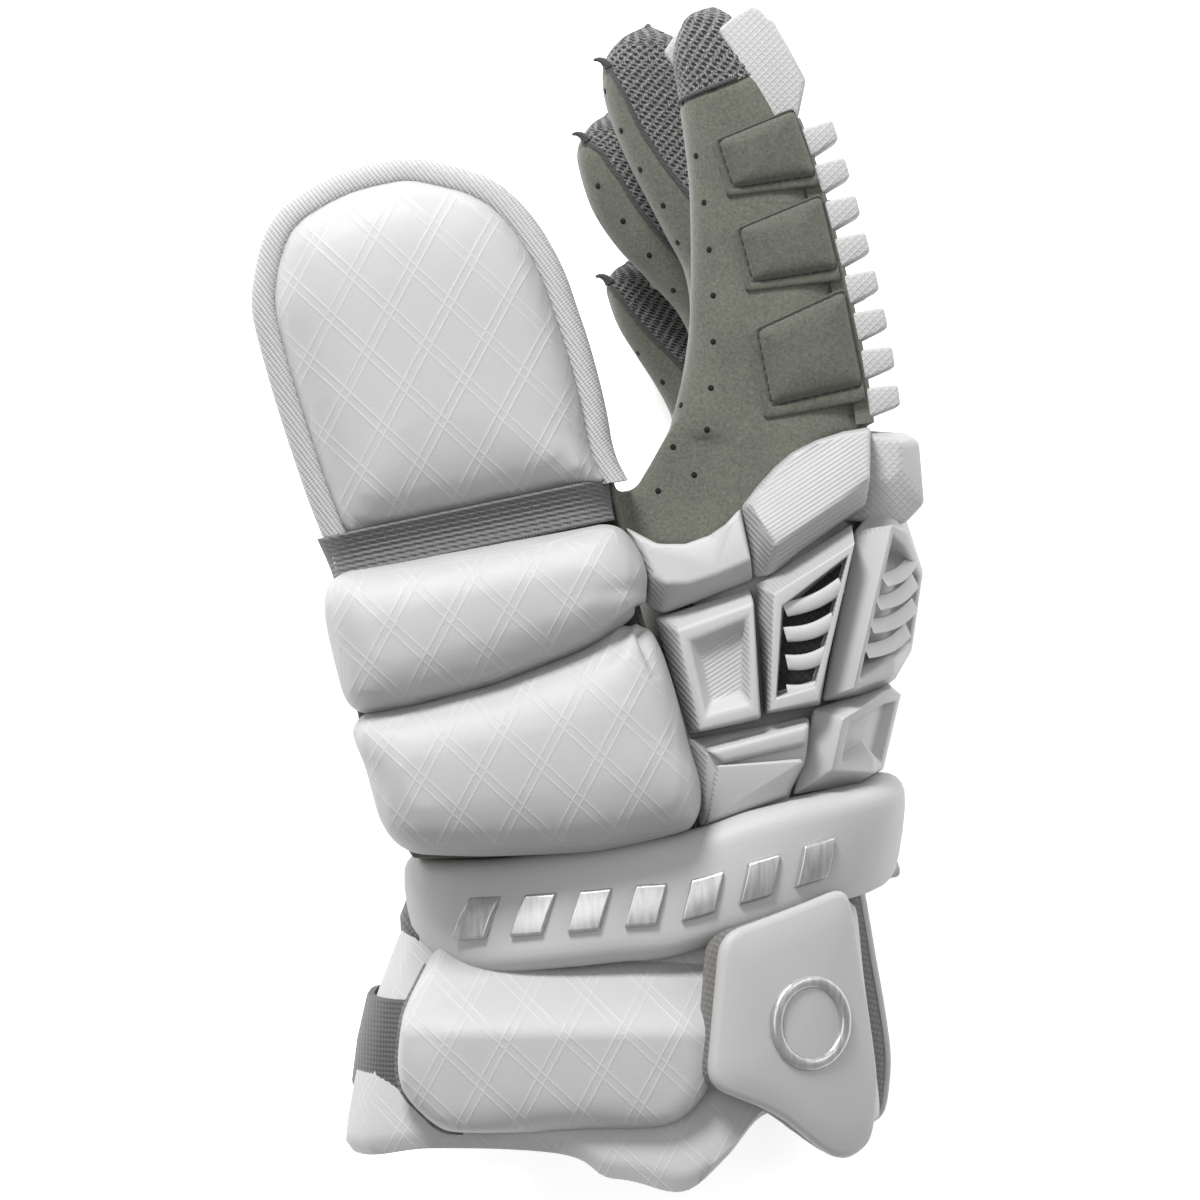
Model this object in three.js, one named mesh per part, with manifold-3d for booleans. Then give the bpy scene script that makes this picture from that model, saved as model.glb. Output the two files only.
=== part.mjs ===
// A right-hand lacrosse glove, in millimetres. It lies on its little-finger side:
// +Z is the thumb side, +Y the fingers' direction and +X the back of the hand.
import * as THREE from 'three';
import { mergeVertices } from 'three/addons/utils/BufferGeometryUtils.js';
import Module from 'manifold-3d';

const wasm = await Module();
wasm.setup();

// Hand
const handLength = 126;        // wrist line to knuckle line
const handWidth = 98;          // little-finger side to thumb side
const knuckleDepth = 55;       // palm to back, at the knuckle line
const wallThick = 2.4;         // suede or knit with its lining
const clearance = 0.3;         // between pieces that touch
const sectionPower = 3;        // squareness of the rounded hand and finger sections

// Fingers
const fingerPitch = 24.5;
const fingerWidth = 23.5;
const indexLength = 115.5;
const middleLength = 112.3;
const ringLength = 89.3;
const pinkyLength = 48.5;
const palmStrip = 9;           // suede that wraps onto a finger's side
const ribPitch = 10.2;
const ribThick = 7.3;
const ribProud = 8.8;
const ribWidth = 21;
const backingThick = 3;
const tipBlockLength = 29;
const tipBlockProud = 9;
const tipBlockSlope = 8;       // slanted end towards the fingertip
const gripThick = 2.6;

// Padding blocks on the hand
const blockHeight = 12;
const blockBevel = 3.5;
const dorsalBlockWidth = 48;
const dorsalBlockHeight = 8;
const dorsalTurn = 66;         // degrees that the dorsal blocks face away from the thumb side
const recessDepth = 6;
const slotWidth = 2.6;
const slotDepth = 6;
const slotPitch = 9.5;

// Thumb
const thumbLength = 191.4;
const thumbWidth = 88;
const thumbDeep = 26;          // rim down to the thumb's palm side
const padHeight = 28;
const rollHeight = 34;
const bindingWide = 7;
const bindingHigh = 9;
const flexBandLength = 10.6;

// Wrist and cuff
const bandWidth = 31;
const bandThick = 12;
const bandTurn = 140;          // degrees round the wrist to each end, from the back of the hand
const studThick = 1.8;
const studWide = 8;
const studHigh = 11.5;
const studPitch = 14.3;
const studCount = 7;
const studMiddle = 13.9;       // middle of the row of studs across the wrist
const cuffLength = 82;
const sleeveThick = 2.6;
const panelThick = 11;
const flapThick = 8;
const sleeveTurn = 155;        // degrees round the arm to each edge of its palm-side opening
const strapWidth = 25;
const strapThick = 2;
const ringOuter = 13;
const ringInner = 9.5;
const ringThick = 1.6;

// Smaller sizes of the hand and fingers
const handTuck = 6;            // hand lining that runs on under the wrist band
const skirtDepth = 26;         // blocks reach down to the hand's wall
const keepOutBevel = 0.5;
const keepOutHeight = 2;       // above a block, so that its neighbour is cut clear
const panelRim = 5;            // recessed block's rim
const dorsalRim = 7;
const slotShare = 0.62;        // slot length over block width
const radialSlots = 3;
const radialSlotTurn = 8;
const dorsalSlots = 4;
const dorsalSlotTurn = -4;
const ribStart = 2;            // first rib from the knuckle line
const ribBevel = 1.6;
const ribSink = 4;
const barSink = 12;
const tipBevel = 3;
const indexCapShare = 0.84;    // length over which suede covers the index finger
const suedeEndShare = 0.93;
const thumbShrink = 0.975;

// Smaller sizes of the thumb
const rimStep = 4;             // least spacing kept at the ends of the rim's outline
const tipShare = 0.7;
const flexSlant = 0.21;        // rise of the flex band across the thumb
const padLevel = 22;           // where the thumb pad's foot crosses the thumb's middle
const padSpine = [[-46, 55], [-50, 80]];
const flexBandHigh = 15;
const flexInset = 1;

// Smaller sizes of the wrist and cuff
const linerLength = 20;
const studSink = 1;
const bandEndRoom = 1;         // degrees kept clear past each end of the band
const strapGap = 1;
const strapDrop = 32;          // wrist line down to the strap
const cuffMidRise = 6;
const cuffHalf = 57;
const panelBevel = 6;
const cuffSkirt = 40;
const flapSkirt = 22;
const flapAcross = 0.60;
const flapRise = -3;
const flapTurn = 32;
const flapWidth = 52;
const ringDrop = 0.45;

// Fineness of the faceted bodies, and how far cutting tools run past what they cut
const handSides = 20;
const armSides = 28;
const thumbSides = 20;
const fingerSides = 12;
const hollowSides = 8;
const strapSides = 6;
const ringSides = 10;
const past = 20;
const reach = 400;
const leastHalf = 0.4;
const fullTurn = 360;

// Places that follow from the sizes
const wristY = -78;
const knuckleY = wristY + handLength;
const palmX = 19.5;
const handLow = blockHeight;
const handHigh = handLow + handWidth;
const handMid = (handLow + handHigh) / 2;
const rimZ = handHigh + 1;
const thumbBaseY = -71;
const thumbX = -50;

// Materials
const suede = new THREE.MeshStandardMaterial({ color: 0x79796b, roughness: 0.95, metalness: 0 });
const leather = new THREE.MeshStandardMaterial({ color: 0xd8d9dc, roughness: 0.45, metalness: 0 });
const knit = new THREE.MeshStandardMaterial({ color: 0x55585c, roughness: 0.9, metalness: 0 });
const mesh = new THREE.MeshStandardMaterial({ color: 0x3d4044, roughness: 0.85, metalness: 0 });
const webbing = new THREE.MeshStandardMaterial({ color: 0x4b4d50, roughness: 0.8, metalness: 0 });
const lining = new THREE.MeshStandardMaterial({ color: 0x645f4b, roughness: 0.95, metalness: 0 });
const silver = new THREE.MeshStandardMaterial({ color: 0x969b96, roughness: 0.35, metalness: 0.6 });

const glove = new THREE.Group();

// Mesh and solid helpers

function solidOf(geometry) {
  const bare = geometry.clone();
  bare.deleteAttribute('normal');
  bare.deleteAttribute('uv');
  const merged = mergeVertices(bare, 1e-4);
  return new wasm.Manifold(new wasm.Mesh({
    numProp: 3,
    vertProperties: new Float32Array(merged.attributes.position.array),
    triVerts: new Uint32Array(merged.index.array),
  }));
}

function geometryOf(solid) {
  const made = solid.getMesh();
  const geometry = new THREE.BufferGeometry();
  geometry.setAttribute('position', new THREE.BufferAttribute(made.vertProperties.slice(), 3));
  geometry.setIndex(new THREE.BufferAttribute(new Uint32Array(made.triVerts), 1));
  return geometry;
}

// The largest of the bodies that a cut leaves: crumbs at a seam are dropped.
function mainBody(solid) {
  let best = null;
  for (const piece of solid.decompose()) {
    if (!best || piece.volume() > best.volume()) best = piece;
  }
  return best;
}

function addNode(name, solid, material) {
  const shown = new THREE.Mesh(geometryOf(mainBody(solid)), material);
  shown.geometry.computeVertexNormals();
  shown.name = name;
  glove.add(shown);
}

// A closed body through rings of equal count, with a fan over each end. It is turned
// the other way out if the rings run the other way round.
function loft(rings) {
  const count = rings[0].length;
  const points = rings.flat();
  const faces = [];
  for (let r = 0; r + 1 < rings.length; r += 1) {
    for (let k = 0; k < count; k += 1) {
      const a = r * count + k;
      const b = r * count + (k + 1) % count;
      faces.push(a, b, b + count, a, b + count, a + count);
    }
  }
  for (const [ring, start, flip] of [[rings[0], 0, true], [rings.at(-1), (rings.length - 1) * count, false]]) {
    const centre = ring.reduce((sum, p) => sum.add(p), new THREE.Vector3()).divideScalar(count);
    points.push(centre);
    const hub = points.length - 1;
    for (let k = 0; k < count; k += 1) {
      const a = start + k;
      const b = start + (k + 1) % count;
      if (flip) faces.push(b, a, hub);
      else faces.push(a, b, hub);
    }
  }
  const geometry = new THREE.BufferGeometry();
  geometry.setAttribute('position', new THREE.Float32BufferAttribute(points.flatMap((p) => p.toArray()), 3));
  geometry.setIndex(faces);
  const solid = solidOf(geometry);
  return solid.volume() < 0 ? turnedOut(geometry) : solid;
}

function turnedOut(geometry) {
  const order = Array.from(geometry.index.array);
  for (let k = 0; k < order.length; k += 3) {
    [order[k], order[k + 1]] = [order[k + 1], order[k]];
  }
  geometry.setIndex(order);
  return solidOf(geometry);
}

// An outline in the XY plane made a prism from one height to another.
function prism(outline, low, high) {
  const shape = new THREE.Shape(outline.map(([x, y]) => new THREE.Vector2(x, y)));
  const geometry = new THREE.ExtrudeGeometry(shape, { depth: high - low, bevelEnabled: false });
  geometry.translate(0, 0, low);
  return solidOf(geometry);
}

// Each corner moved out by a distance, square to its two sides.
function grownOutline(outline, distance) {
  const turning = THREE.ShapeUtils.area(outline.map(([x, y]) => new THREE.Vector2(x, y))) > 0 ? 1 : -1;
  return outline.map(([x, y], k) => {
    const [px, py] = outline.at(k - 1);
    const [nx, ny] = outline[(k + 1) % outline.length];
    const before = new THREE.Vector2(y - py, px - x).normalize();
    const after = new THREE.Vector2(ny - y, x - nx).normalize();
    const out = before.add(after).divideScalar(1 + before.dot(after)).multiplyScalar(turning * distance);
    return [x + out.x, y + out.y];
  });
}

// Sections: a rounded rectangle {left, right, low, high} at each height along Y

const power = 2 / sectionPower;

function sectionPoint(row, degrees, grow) {
  const angle = THREE.MathUtils.degToRad(degrees);
  const cos = Math.cos(angle);
  const sin = Math.sin(angle);
  const halfX = Math.max((row.right - row.left) / 2 + grow, leastHalf);
  const halfZ = Math.max((row.high - row.low) / 2 + grow, leastHalf);
  return new THREE.Vector3(
    (row.left + row.right) / 2 + halfX * Math.sign(cos) * Math.abs(cos) ** power,
    row.y,
    (row.low + row.high) / 2 + halfZ * Math.sign(sin) * Math.abs(sin) ** power,
  );
}

function rowAt(rows, y) {
  let k = 0;
  while (k + 2 < rows.length && y > rows[k + 1].y) k += 1;
  const share = (y - rows[k].y) / (rows[k + 1].y - rows[k].y);
  const mixed = { y };
  for (const side of ['left', 'right', 'low', 'high']) {
    mixed[side] = THREE.MathUtils.lerp(rows[k][side], rows[k + 1][side], share);
  }
  return mixed;
}

function tube(rows, grow, sides) {
  return loft(rows.map((row) => Array.from({ length: sides }, (_, k) => (
    sectionPoint(row, (fullTurn * k) / sides, grow)
  ))));
}

// A tube with a closed tip whose wall lies inside the rows, and which runs on past its open end.
function hollowOf(rows, wall, sides, past) {
  const tip = rows.at(-1).y;
  const base = rows[0].y;
  const inner = rows.map((row) => ({ ...row, y: row.y - wall * ((row.y - base) / (tip - base)) ** 2 }));
  inner.unshift({ ...inner[0], y: base - past });
  return tube(inner, -wall, sides);
}

const everywhere = [[-reach, -reach], [reach, -reach], [reach, reach], [-reach, reach]];
const ground = prism(everywhere, -reach, 0);

// Hand and arm

const handTable = [
  { along: 0.00, left: -1.045, right: 0.880 },
  { along: 0.22, left: -0.720, right: 0.936 },
  { along: 0.46, left: -0.245, right: 0.990 },
  { along: 0.70, left: -0.120, right: 1.035 },
  { along: 1.00, left: 0.000, right: 1.000 },
];
const cuffTable = [
  { along: 1.00, left: -1.555, right: 1.027, low: -0.020, high: 1.163 },
  { along: 0.57, left: -1.410, right: 0.955, low: -0.010, high: 1.090 },
  { along: 0.27, left: -1.245, right: 0.900, low: 0.000, high: 1.020 },
];
const armRows = [
  ...cuffTable.map((row) => ({
    y: wristY - row.along * cuffLength,
    left: palmX + row.left * knuckleDepth,
    right: palmX + row.right * knuckleDepth,
    low: handLow + row.low * handWidth,
    high: handLow + row.high * handWidth,
  })),
  ...handTable.map((row) => ({
    y: wristY + row.along * handLength,
    left: palmX + row.left * knuckleDepth,
    right: palmX + row.right * knuckleDepth,
    low: handLow,
    high: handHigh,
  })),
];
const handRows = armRows.slice(cuffTable.length);
handRows[0] = { ...handRows[0], y: wristY - handTuck };
const handOuter = tube(handRows, 0, handSides);
const handHollow = tube([
  { ...handRows[0], y: handRows[0].y - past },
  ...handRows,
  { ...handRows.at(-1), y: knuckleY + past },
], -wallThick, handSides);

// Places given as shares: across the knuckle depth and along the hand.
const onHand = ([across, along]) => [palmX + across * knuckleDepth, wristY + along * handLength];

// The suede's edge on the back of the hand: down beside the thumb, then up round the web.
const webCurve = [
  [-0.30, -0.10], [-0.10, 0.25], [0.10, 0.45], [0.12, 0.72], [0.34, 0.79],
  [0.58, 0.89], [0.78, 0.94], [0.96, 0.96], [0.96, 1.10],
];
const palmRegion = [...webCurve, [-4, 1.10], [-4, -0.10]].map(onHand);

// Thumb

const thumbTable = [
  { along: 0.000, left: -0.020, right: 0.875, deep: 1.00 },
  { along: 0.110, left: -0.125, right: 0.875, deep: 1.00 },
  { along: 0.235, left: -0.205, right: 0.795, deep: 1.00 },
  { along: 0.350, left: -0.250, right: 0.700, deep: 1.00 },
  { along: 0.423, left: -0.260, right: 0.680, deep: 1.00 },
  { along: 0.522, left: -0.340, right: 0.620, deep: 1.00 },
  { along: 0.632, left: -0.420, right: 0.585, deep: 1.00 },
  { along: 0.726, left: -0.480, right: 0.535, deep: 1.00 },
  { along: 0.789, left: -0.510, right: 0.490, deep: 1.00 },
  { along: 0.841, left: -0.500, right: 0.450, deep: 0.98 },
  { along: 0.893, left: -0.470, right: 0.390, deep: 0.93 },
  { along: 0.933, left: -0.410, right: 0.325, deep: 0.83 },
  { along: 0.967, left: -0.295, right: 0.240, deep: 0.65 },
  { along: 0.987, left: -0.190, right: 0.130, deep: 0.42 },
  { along: 1.000, left: -0.060, right: 0.000, deep: 0.15 },
];
const thumbRows = thumbTable.map((row) => ({
  y: thumbBaseY + row.along * thumbLength,
  left: thumbX + row.left * thumbWidth,
  right: thumbX + row.right * thumbWidth,
  low: rimZ - row.deep * thumbDeep,
  high: rimZ + row.deep * thumbDeep,
}));
const thumbBowl = (grow) => tube(thumbRows, grow, thumbSides).subtract(
  prism(everywhere, rimZ - clearance + Math.max(grow, 0), reach),
);
const thumbGrown = thumbBowl(clearance);

// The thumb's rim seen from above, moved in by a distance, above a slanting line.
const slantAt = (x, level) => level + flexSlant * (x - thumbX);
function rimOutline(inset, level) {
  const rows = thumbRows.filter((row) => row.y > slantAt(row.left, level) + rimStep);
  const tip = thumbRows.at(-1).y;
  const atRow = (row, side) => {
    const y = row.y - inset * Math.max(0, (row.y - tipShare * tip) / ((1 - tipShare) * tip));
    return [side === 'left' ? row.left + inset : row.right - inset, y];
  };
  const narrow = rows.filter((row) => row.right - row.left > 2 * inset + rimStep);
  const left = narrow.map((row) => atRow(row, 'left'));
  const right = narrow.filter((row) => row.y > slantAt(row.right, level) + rimStep)
    .map((row) => atRow(row, 'right')).reverse();
  const foot = (x) => [x, slantAt(x, level)];
  return [foot(left[0][0] + rimStep / 2), ...left, ...right, foot(right.at(-1)[0])];
}

// A pad with a flat underside, whose top rises from its outline in rounded steps.
const pillowSteps = [
  { inward: 0.00, up: 0.00 },
  { inward: 0.00, up: 0.42 },
  { inward: 0.05, up: 0.62 },
  { inward: 0.16, up: 0.80 },
  { inward: 0.38, up: 0.94 },
  { inward: 0.70, up: 1.00 },
];
function pillow(outline, spine, low, height) {
  const line = new THREE.Line3(new THREE.Vector3(...spine[0], 0), new THREE.Vector3(...spine[1], 0));
  return loft(pillowSteps.map((step) => outline.map(([x, y]) => {
    const point = new THREE.Vector3(x, y, 0);
    const nearest = line.closestPointToPoint(point, true, new THREE.Vector3());
    point.lerp(nearest, step.inward);
    point.z = low + step.up * height;
    return point;
  })));
}

// Palm, backing and thumb walls

const handWall = handOuter.subtract(handHollow).subtract(thumbGrown);
addNode('palm_panel', handWall.intersect(prism(palmRegion, -past, reach)), suede);
addNode('hand_backing', handWall.subtract(prism(grownOutline(palmRegion, clearance), -past, reach)), knit);

const thumbHollow = tube([
  ...thumbRows.map((row) => ({ ...row, y: thumbBaseY + wallThick + (row.y - thumbBaseY) * thumbShrink })),
], -wallThick, thumbSides);
const handGrown = tube([
  { ...handRows[0], y: handRows[0].y - past },
  ...handRows,
  { ...handRows.at(-1), y: knuckleY + clearance },
], clearance, handSides);
addNode('thumb_palm', thumbBowl(0).subtract(thumbHollow).subtract(handGrown), suede);

const padOutline = rimOutline(bindingWide + clearance, padLevel);
addNode('thumb_pad', pillow(padOutline, padSpine, rimZ, padHeight), leather);

// The tape round the rim: a rounded section swept along the rim's outline.
function binding() {
  const outer = rimOutline(0, padLevel);
  const inner = grownOutline(padOutline, clearance);
  const rings = outer.map(([x, y], k) => {
    const inside = inner[Math.min(k, inner.length - 1)];
    const across = new THREE.Vector3(inside[0] - x, inside[1] - y, 0);
    const at = (share, up) => new THREE.Vector3(x, y, rimZ + up * bindingHigh).addScaledVector(across, share);
    return [at(0, 0), at(0, 0.55), at(0.25, 0.9), at(0.6, 1), at(0.93, 0.85), at(0.93, 0)];
  });
  return loft(rings);
}
addNode('thumb_binding', binding(), webbing);

const flexTop = padLevel - clearance;
const flexLow = flexTop - flexBandLength;
const flexLeft = rowAt(thumbRows, flexLow - flexBandLength / 2).left + flexInset;
const flexRight = rowAt(thumbRows, flexLow + flexBandLength).right - flexInset;
const flexOutline = [
  [flexLeft, slantAt(flexLeft, flexLow)],
  [flexRight, slantAt(flexRight, flexLow)],
  [flexRight, slantAt(flexRight, flexTop)],
  [flexLeft, slantAt(flexLeft, flexTop)],
];
addNode('thumb_flex_band', pillow(flexOutline, [flexOutline[0], flexOutline[1]], rimZ, flexBandHigh), webbing);

const rollTop = flexLow - clearance;
const onThumb = ([across, along]) => [thumbX + across * thumbWidth, thumbBaseY + along * thumbLength];
const upperRoll = [
  [-0.25, 0.405], [-0.28, 0.370], [-0.255, 0.310], [-0.205, 0.220], [-0.155, 0.211],
  [-0.010, 0.224], [0.245, 0.255], [0.510, 0.303], [0.690, 0.352], [0.710, 0.385],
  [0.695, 0.425], [0.620, 0.477],
].map(onThumb).map(([x, y]) => [x, Math.min(y, slantAt(x, rollTop))]);
const upperRollSpine = [onThumb([-0.08, 0.315]), onThumb([0.50, 0.385])];
addNode('thumb_upper_roll', pillow(upperRoll, upperRollSpine, rimZ, rollHeight), leather);

const lowerPad = [
  [-0.160, 0.207], [-0.195, 0.185], [-0.145, 0.140], [-0.120, 0.090], [-0.095, 0.050],
  [-0.030, 0.016], [0.200, 0.012], [0.550, 0.018], [0.730, 0.036], [0.865, 0.052],
  [0.870, 0.110], [0.835, 0.150], [0.790, 0.235], [0.745, 0.300], [0.690, 0.345],
  [0.510, 0.296], [0.245, 0.248], [-0.010, 0.217],
].map(onThumb);
const lowerPadSpine = [onThumb([0.02, 0.115]), onThumb([0.62, 0.165])];
addNode('thumb_lower_pad', pillow(lowerPad, lowerPadSpine, rimZ, rollHeight), leather);

// Wrist band, its liner and its studs

const bandTable = [
  { turn: 0, rise: 0.45 },
  { turn: 27, rise: 0.39 },
  { turn: 52, rise: 0.29 },
  { turn: 77, rise: 0.04 },
  { turn: 90, rise: -0.16 },
  { turn: 120, rise: -0.26 },
  { turn: 150, rise: -0.23 },
  { turn: 180, rise: -0.16 },
];
// A table's value at a turn from the back of the hand, the same on both sides.
function riseAt(table, turn) {
  const half = fullTurn / 2;
  const folded = Math.abs(THREE.MathUtils.euclideanModulo(turn + half, fullTurn) - half);
  let k = 0;
  while (k + 2 < table.length && folded > table[k + 1].turn) k += 1;
  const [a, b] = [table[k], table[k + 1]];
  return THREE.MathUtils.lerp(a.rise, b.rise, (folded - a.turn) / (b.turn - a.turn));
}
function bandMiddle(turn) {
  return wristY + bandWidth * riseAt(bandTable, turn);
}

function armPoint(turn, y, lift) {
  return sectionPoint(rowAt(armRows, y), turn, lift);
}

// A closed wall on the arm's surface. edges(turn) gives its low and high ends along Y, and
// profile holds {across, lift} steps: out along its face from one edge to the other and back.
function armWall(from, to, sides, edges, profile) {
  const around = Math.abs(to - from) >= fullTurn;
  const count = around ? sides : sides + 1;
  const rings = Array.from({ length: count }, (_, k) => {
    const turn = from + ((to - from) * k) / sides;
    const [low, high] = edges(turn);
    return profile.map(({ across, lift }) => armPoint(turn, THREE.MathUtils.lerp(low, high, across), lift));
  });
  if (!around) return loft(rings);
  const points = rings.flat();
  const n = profile.length;
  const faces = [];
  for (let r = 0; r < sides; r += 1) {
    const next = (r + 1) % sides;
    for (let k = 0; k < n; k += 1) {
      const [a, b, c, d] = [r * n + k, r * n + (k + 1) % n, next * n + (k + 1) % n, next * n + k];
      faces.push(a, b, c, a, c, d);
    }
  }
  const geometry = new THREE.BufferGeometry();
  geometry.setAttribute('position', new THREE.Float32BufferAttribute(points.flatMap((p) => p.toArray()), 3));
  geometry.setIndex(faces);
  const solid = solidOf(geometry);
  return solid.volume() < 0 ? turnedOut(geometry) : solid;
}

const plain = (low, high) => [
  { across: 0, lift: low }, { across: 0, lift: high }, { across: 1, lift: high }, { across: 1, lift: low },
];
const bandFoot = sleeveThick + 2 * clearance;
const bandProfile = [
  { across: 0.00, lift: 0 }, { across: 0.01, lift: bandFoot + bandThick * 0.55 },
  { across: 0.10, lift: bandFoot + bandThick * 0.90 }, { across: 0.25, lift: bandFoot + bandThick },
  { across: 0.75, lift: bandFoot + bandThick }, { across: 0.90, lift: bandFoot + bandThick * 0.90 },
  { across: 0.99, lift: bandFoot + bandThick * 0.55 }, { across: 1.00, lift: 0 },
];
const bandEdges = (turn) => [bandMiddle(turn) - bandWidth / 2, bandMiddle(turn) + bandWidth / 2];
const cuffGrown = tube(armRows, bandFoot, armSides);
const bandSides = Math.round((2 * bandTurn * armSides) / fullTurn);
addNode('wrist_band', armWall(-bandTurn, bandTurn, bandSides, bandEdges, bandProfile)
  .subtract(cuffGrown).subtract(ground).subtract(thumbGrown), leather);
const grownEdges = (turn) => [bandEdges(turn)[0] - clearance, bandEdges(turn)[1] + clearance];
const grownProfile = bandProfile.map((step) => ({ ...step, lift: step.lift + clearance }));
const grownBetween = (from, to, sides) => armWall(from, to, sides, grownEdges, grownProfile);
const bandGrown = grownBetween(-bandTurn, bandTurn, bandSides)
  .add(grownBetween(-bandTurn - bandEndRoom, -bandTurn + bandEndRoom, 2))
  .add(grownBetween(bandTurn - bandEndRoom, bandTurn + bandEndRoom, 2));

// Padding blocks. Each stands on a face turned about Y: 0 faces the thumb side, 90 the back.

function placed(solid, face) {
  const turn = THREE.MathUtils.degToRad(face.turn);
  const matrix = new THREE.Matrix4().makeRotationY(turn).setPosition(face.x, 0, face.z);
  return solid.transform(Array.from(matrix.elements));
}

function blockBody(outline, deep, height, bevel) {
  const ring = (grow, z) => grownOutline(outline, grow).map(([x, y]) => new THREE.Vector3(x, y, z));
  return loft([ring(0, -deep), ring(0, height - bevel), ring(-bevel, height)]);
}

function slots(outline, height, count, turn) {
  const share = 1 / outline.length;
  const centre = outline.reduce((sum, [x, y]) => [sum[0] + x * share, sum[1] + y * share], [0, 0]);
  const width = Math.max(...outline.map(([x]) => x)) - Math.min(...outline.map(([x]) => x));
  return Array.from({ length: count }, (_, k) => {
    const box = new THREE.BoxGeometry(width * slotShare, slotWidth, 2 * slotDepth);
    box.rotateZ(THREE.MathUtils.degToRad(turn));
    box.translate(centre[0], centre[1] + (k - (count - 1) / 2) * slotPitch, height);
    return solidOf(box);
  });
}

function block({ outline, face, height, bevel = blockBevel, recess, slotCount = 0, slotTurn = 0 }) {
  let body = blockBody(outline, skirtDepth, height, bevel);
  if (recess) {
    const floor = grownOutline(outline, -recess);
    body = body.subtract(prism(floor, height - recessDepth, height + 1));
  }
  for (const slot of slots(outline, height, slotCount, slotTurn)) body = body.subtract(slot);
  return placed(body, face);
}

const mirrorZ = (solid, mid) => solid.mirror([0, 0, 1]).translate([0, 0, 2 * mid]);
const littleFingerHalf = prism(everywhere, -reach, handMid + clearance);

const radialFace = { x: 0, z: handHigh, turn: 0 };
const dorsalFace = {
  x: palmX + 0.964 * knuckleDepth,
  z: handMid + 0.276 * handWidth,
  turn: dorsalTurn,
};
const onDorsal = ([across, along]) => [across * dorsalBlockWidth, wristY + along * handLength];

const webOutline = [
  [-0.09, 0.750], [0.08, 0.746], [0.34, 0.814], [0.40, 0.675], [0.14, 0.622], [-0.07, 0.597],
];
const kneeOutline = [
  [0.37, 0.82], [0.59, 0.920], [0.79, 0.970], [0.96, 0.984], [0.99, 0.88], [0.48, 0.675],
];
const recessedOutline = [[-0.03, 0.565], [0.416, 0.628], [0.445, 0.365], [0.11, 0.331]];
const ventOutline = [[0.52, 0.640], [0.915, 0.780], [0.736, 0.405], [0.533, 0.373]];
const lowerOutline = [[0.09, 0.317], [0.68, 0.369], [0.636, 0.254], [0.165, 0.143]];
const ulnarVentOutline = [[-0.03, 0.565], [0.40, 0.60], [0.915, 0.780], [0.736, 0.405], [0.11, 0.331]];
const dorsalVentOutline = [
  [-0.42, 0.775], [0.20, 0.760], [0.54, 0.690], [0.54, 0.510], [0.25, 0.452], [-0.42, 0.420],
];
const dorsalLowerOutline = [[-0.38, 0.395], [0.50, 0.430], [0.46, 0.238], [-0.36, 0.206]];

function addRadial(name, outline, options) {
  const body = block({ outline: outline.map(onHand), face: radialFace, height: blockHeight, ...options });
  addNode(name, body.subtract(handGrown).subtract(thumbGrown), leather);
}
function ulnar(outline, options) {
  const body = block({ outline: outline.map(onHand), face: radialFace, height: blockHeight, ...options });
  return mirrorZ(body.subtract(handGrown), handMid).subtract(ground);
}
addRadial('web_block', webOutline, {});
addRadial('knuckle_side_block', kneeOutline, {});
addRadial('recessed_block', recessedOutline, { recess: panelRim });
addRadial('vent_block_radial', ventOutline, { slotCount: radialSlots, slotTurn: radialSlotTurn });
addRadial('lower_block_radial', lowerOutline, {});
addNode('knuckle_side_block_ulnar', ulnar(kneeOutline, {}), leather);
addNode('vent_block_ulnar', ulnar(ulnarVentOutline, {}), leather);
addNode('lower_block_ulnar', ulnar(lowerOutline, {}), leather);

const radialKeepOut = [ventOutline, kneeOutline, lowerOutline].map((outline) => (
  placed(
    blockBody(
      grownOutline(outline.map(onHand), clearance),
      skirtDepth,
      blockHeight + keepOutHeight,
      keepOutBevel,
    ),
    radialFace,
  )
));
function dorsal(outline, options) {
  const place = { outline: outline.map(onDorsal), face: dorsalFace, height: dorsalBlockHeight };
  let body = block({ ...place, ...options });
  body = body.subtract(handGrown);
  for (const other of radialKeepOut) body = body.subtract(other);
  return body.subtract(littleFingerHalf).subtract(bandGrown);
}
const dorsalVent = dorsal(dorsalVentOutline, { slotCount: dorsalSlots, slotTurn: dorsalSlotTurn });
const dorsalLower = dorsal(dorsalLowerOutline, { recess: dorsalRim });
addNode('vent_block_dorsal_1', dorsalVent, leather);
addNode('vent_block_dorsal_2', mirrorZ(dorsalVent, handMid), leather);
addNode('lower_block_dorsal_1', dorsalLower, leather);
addNode('lower_block_dorsal_2', mirrorZ(dorsalLower, handMid), leather);

// Fingers

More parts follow.
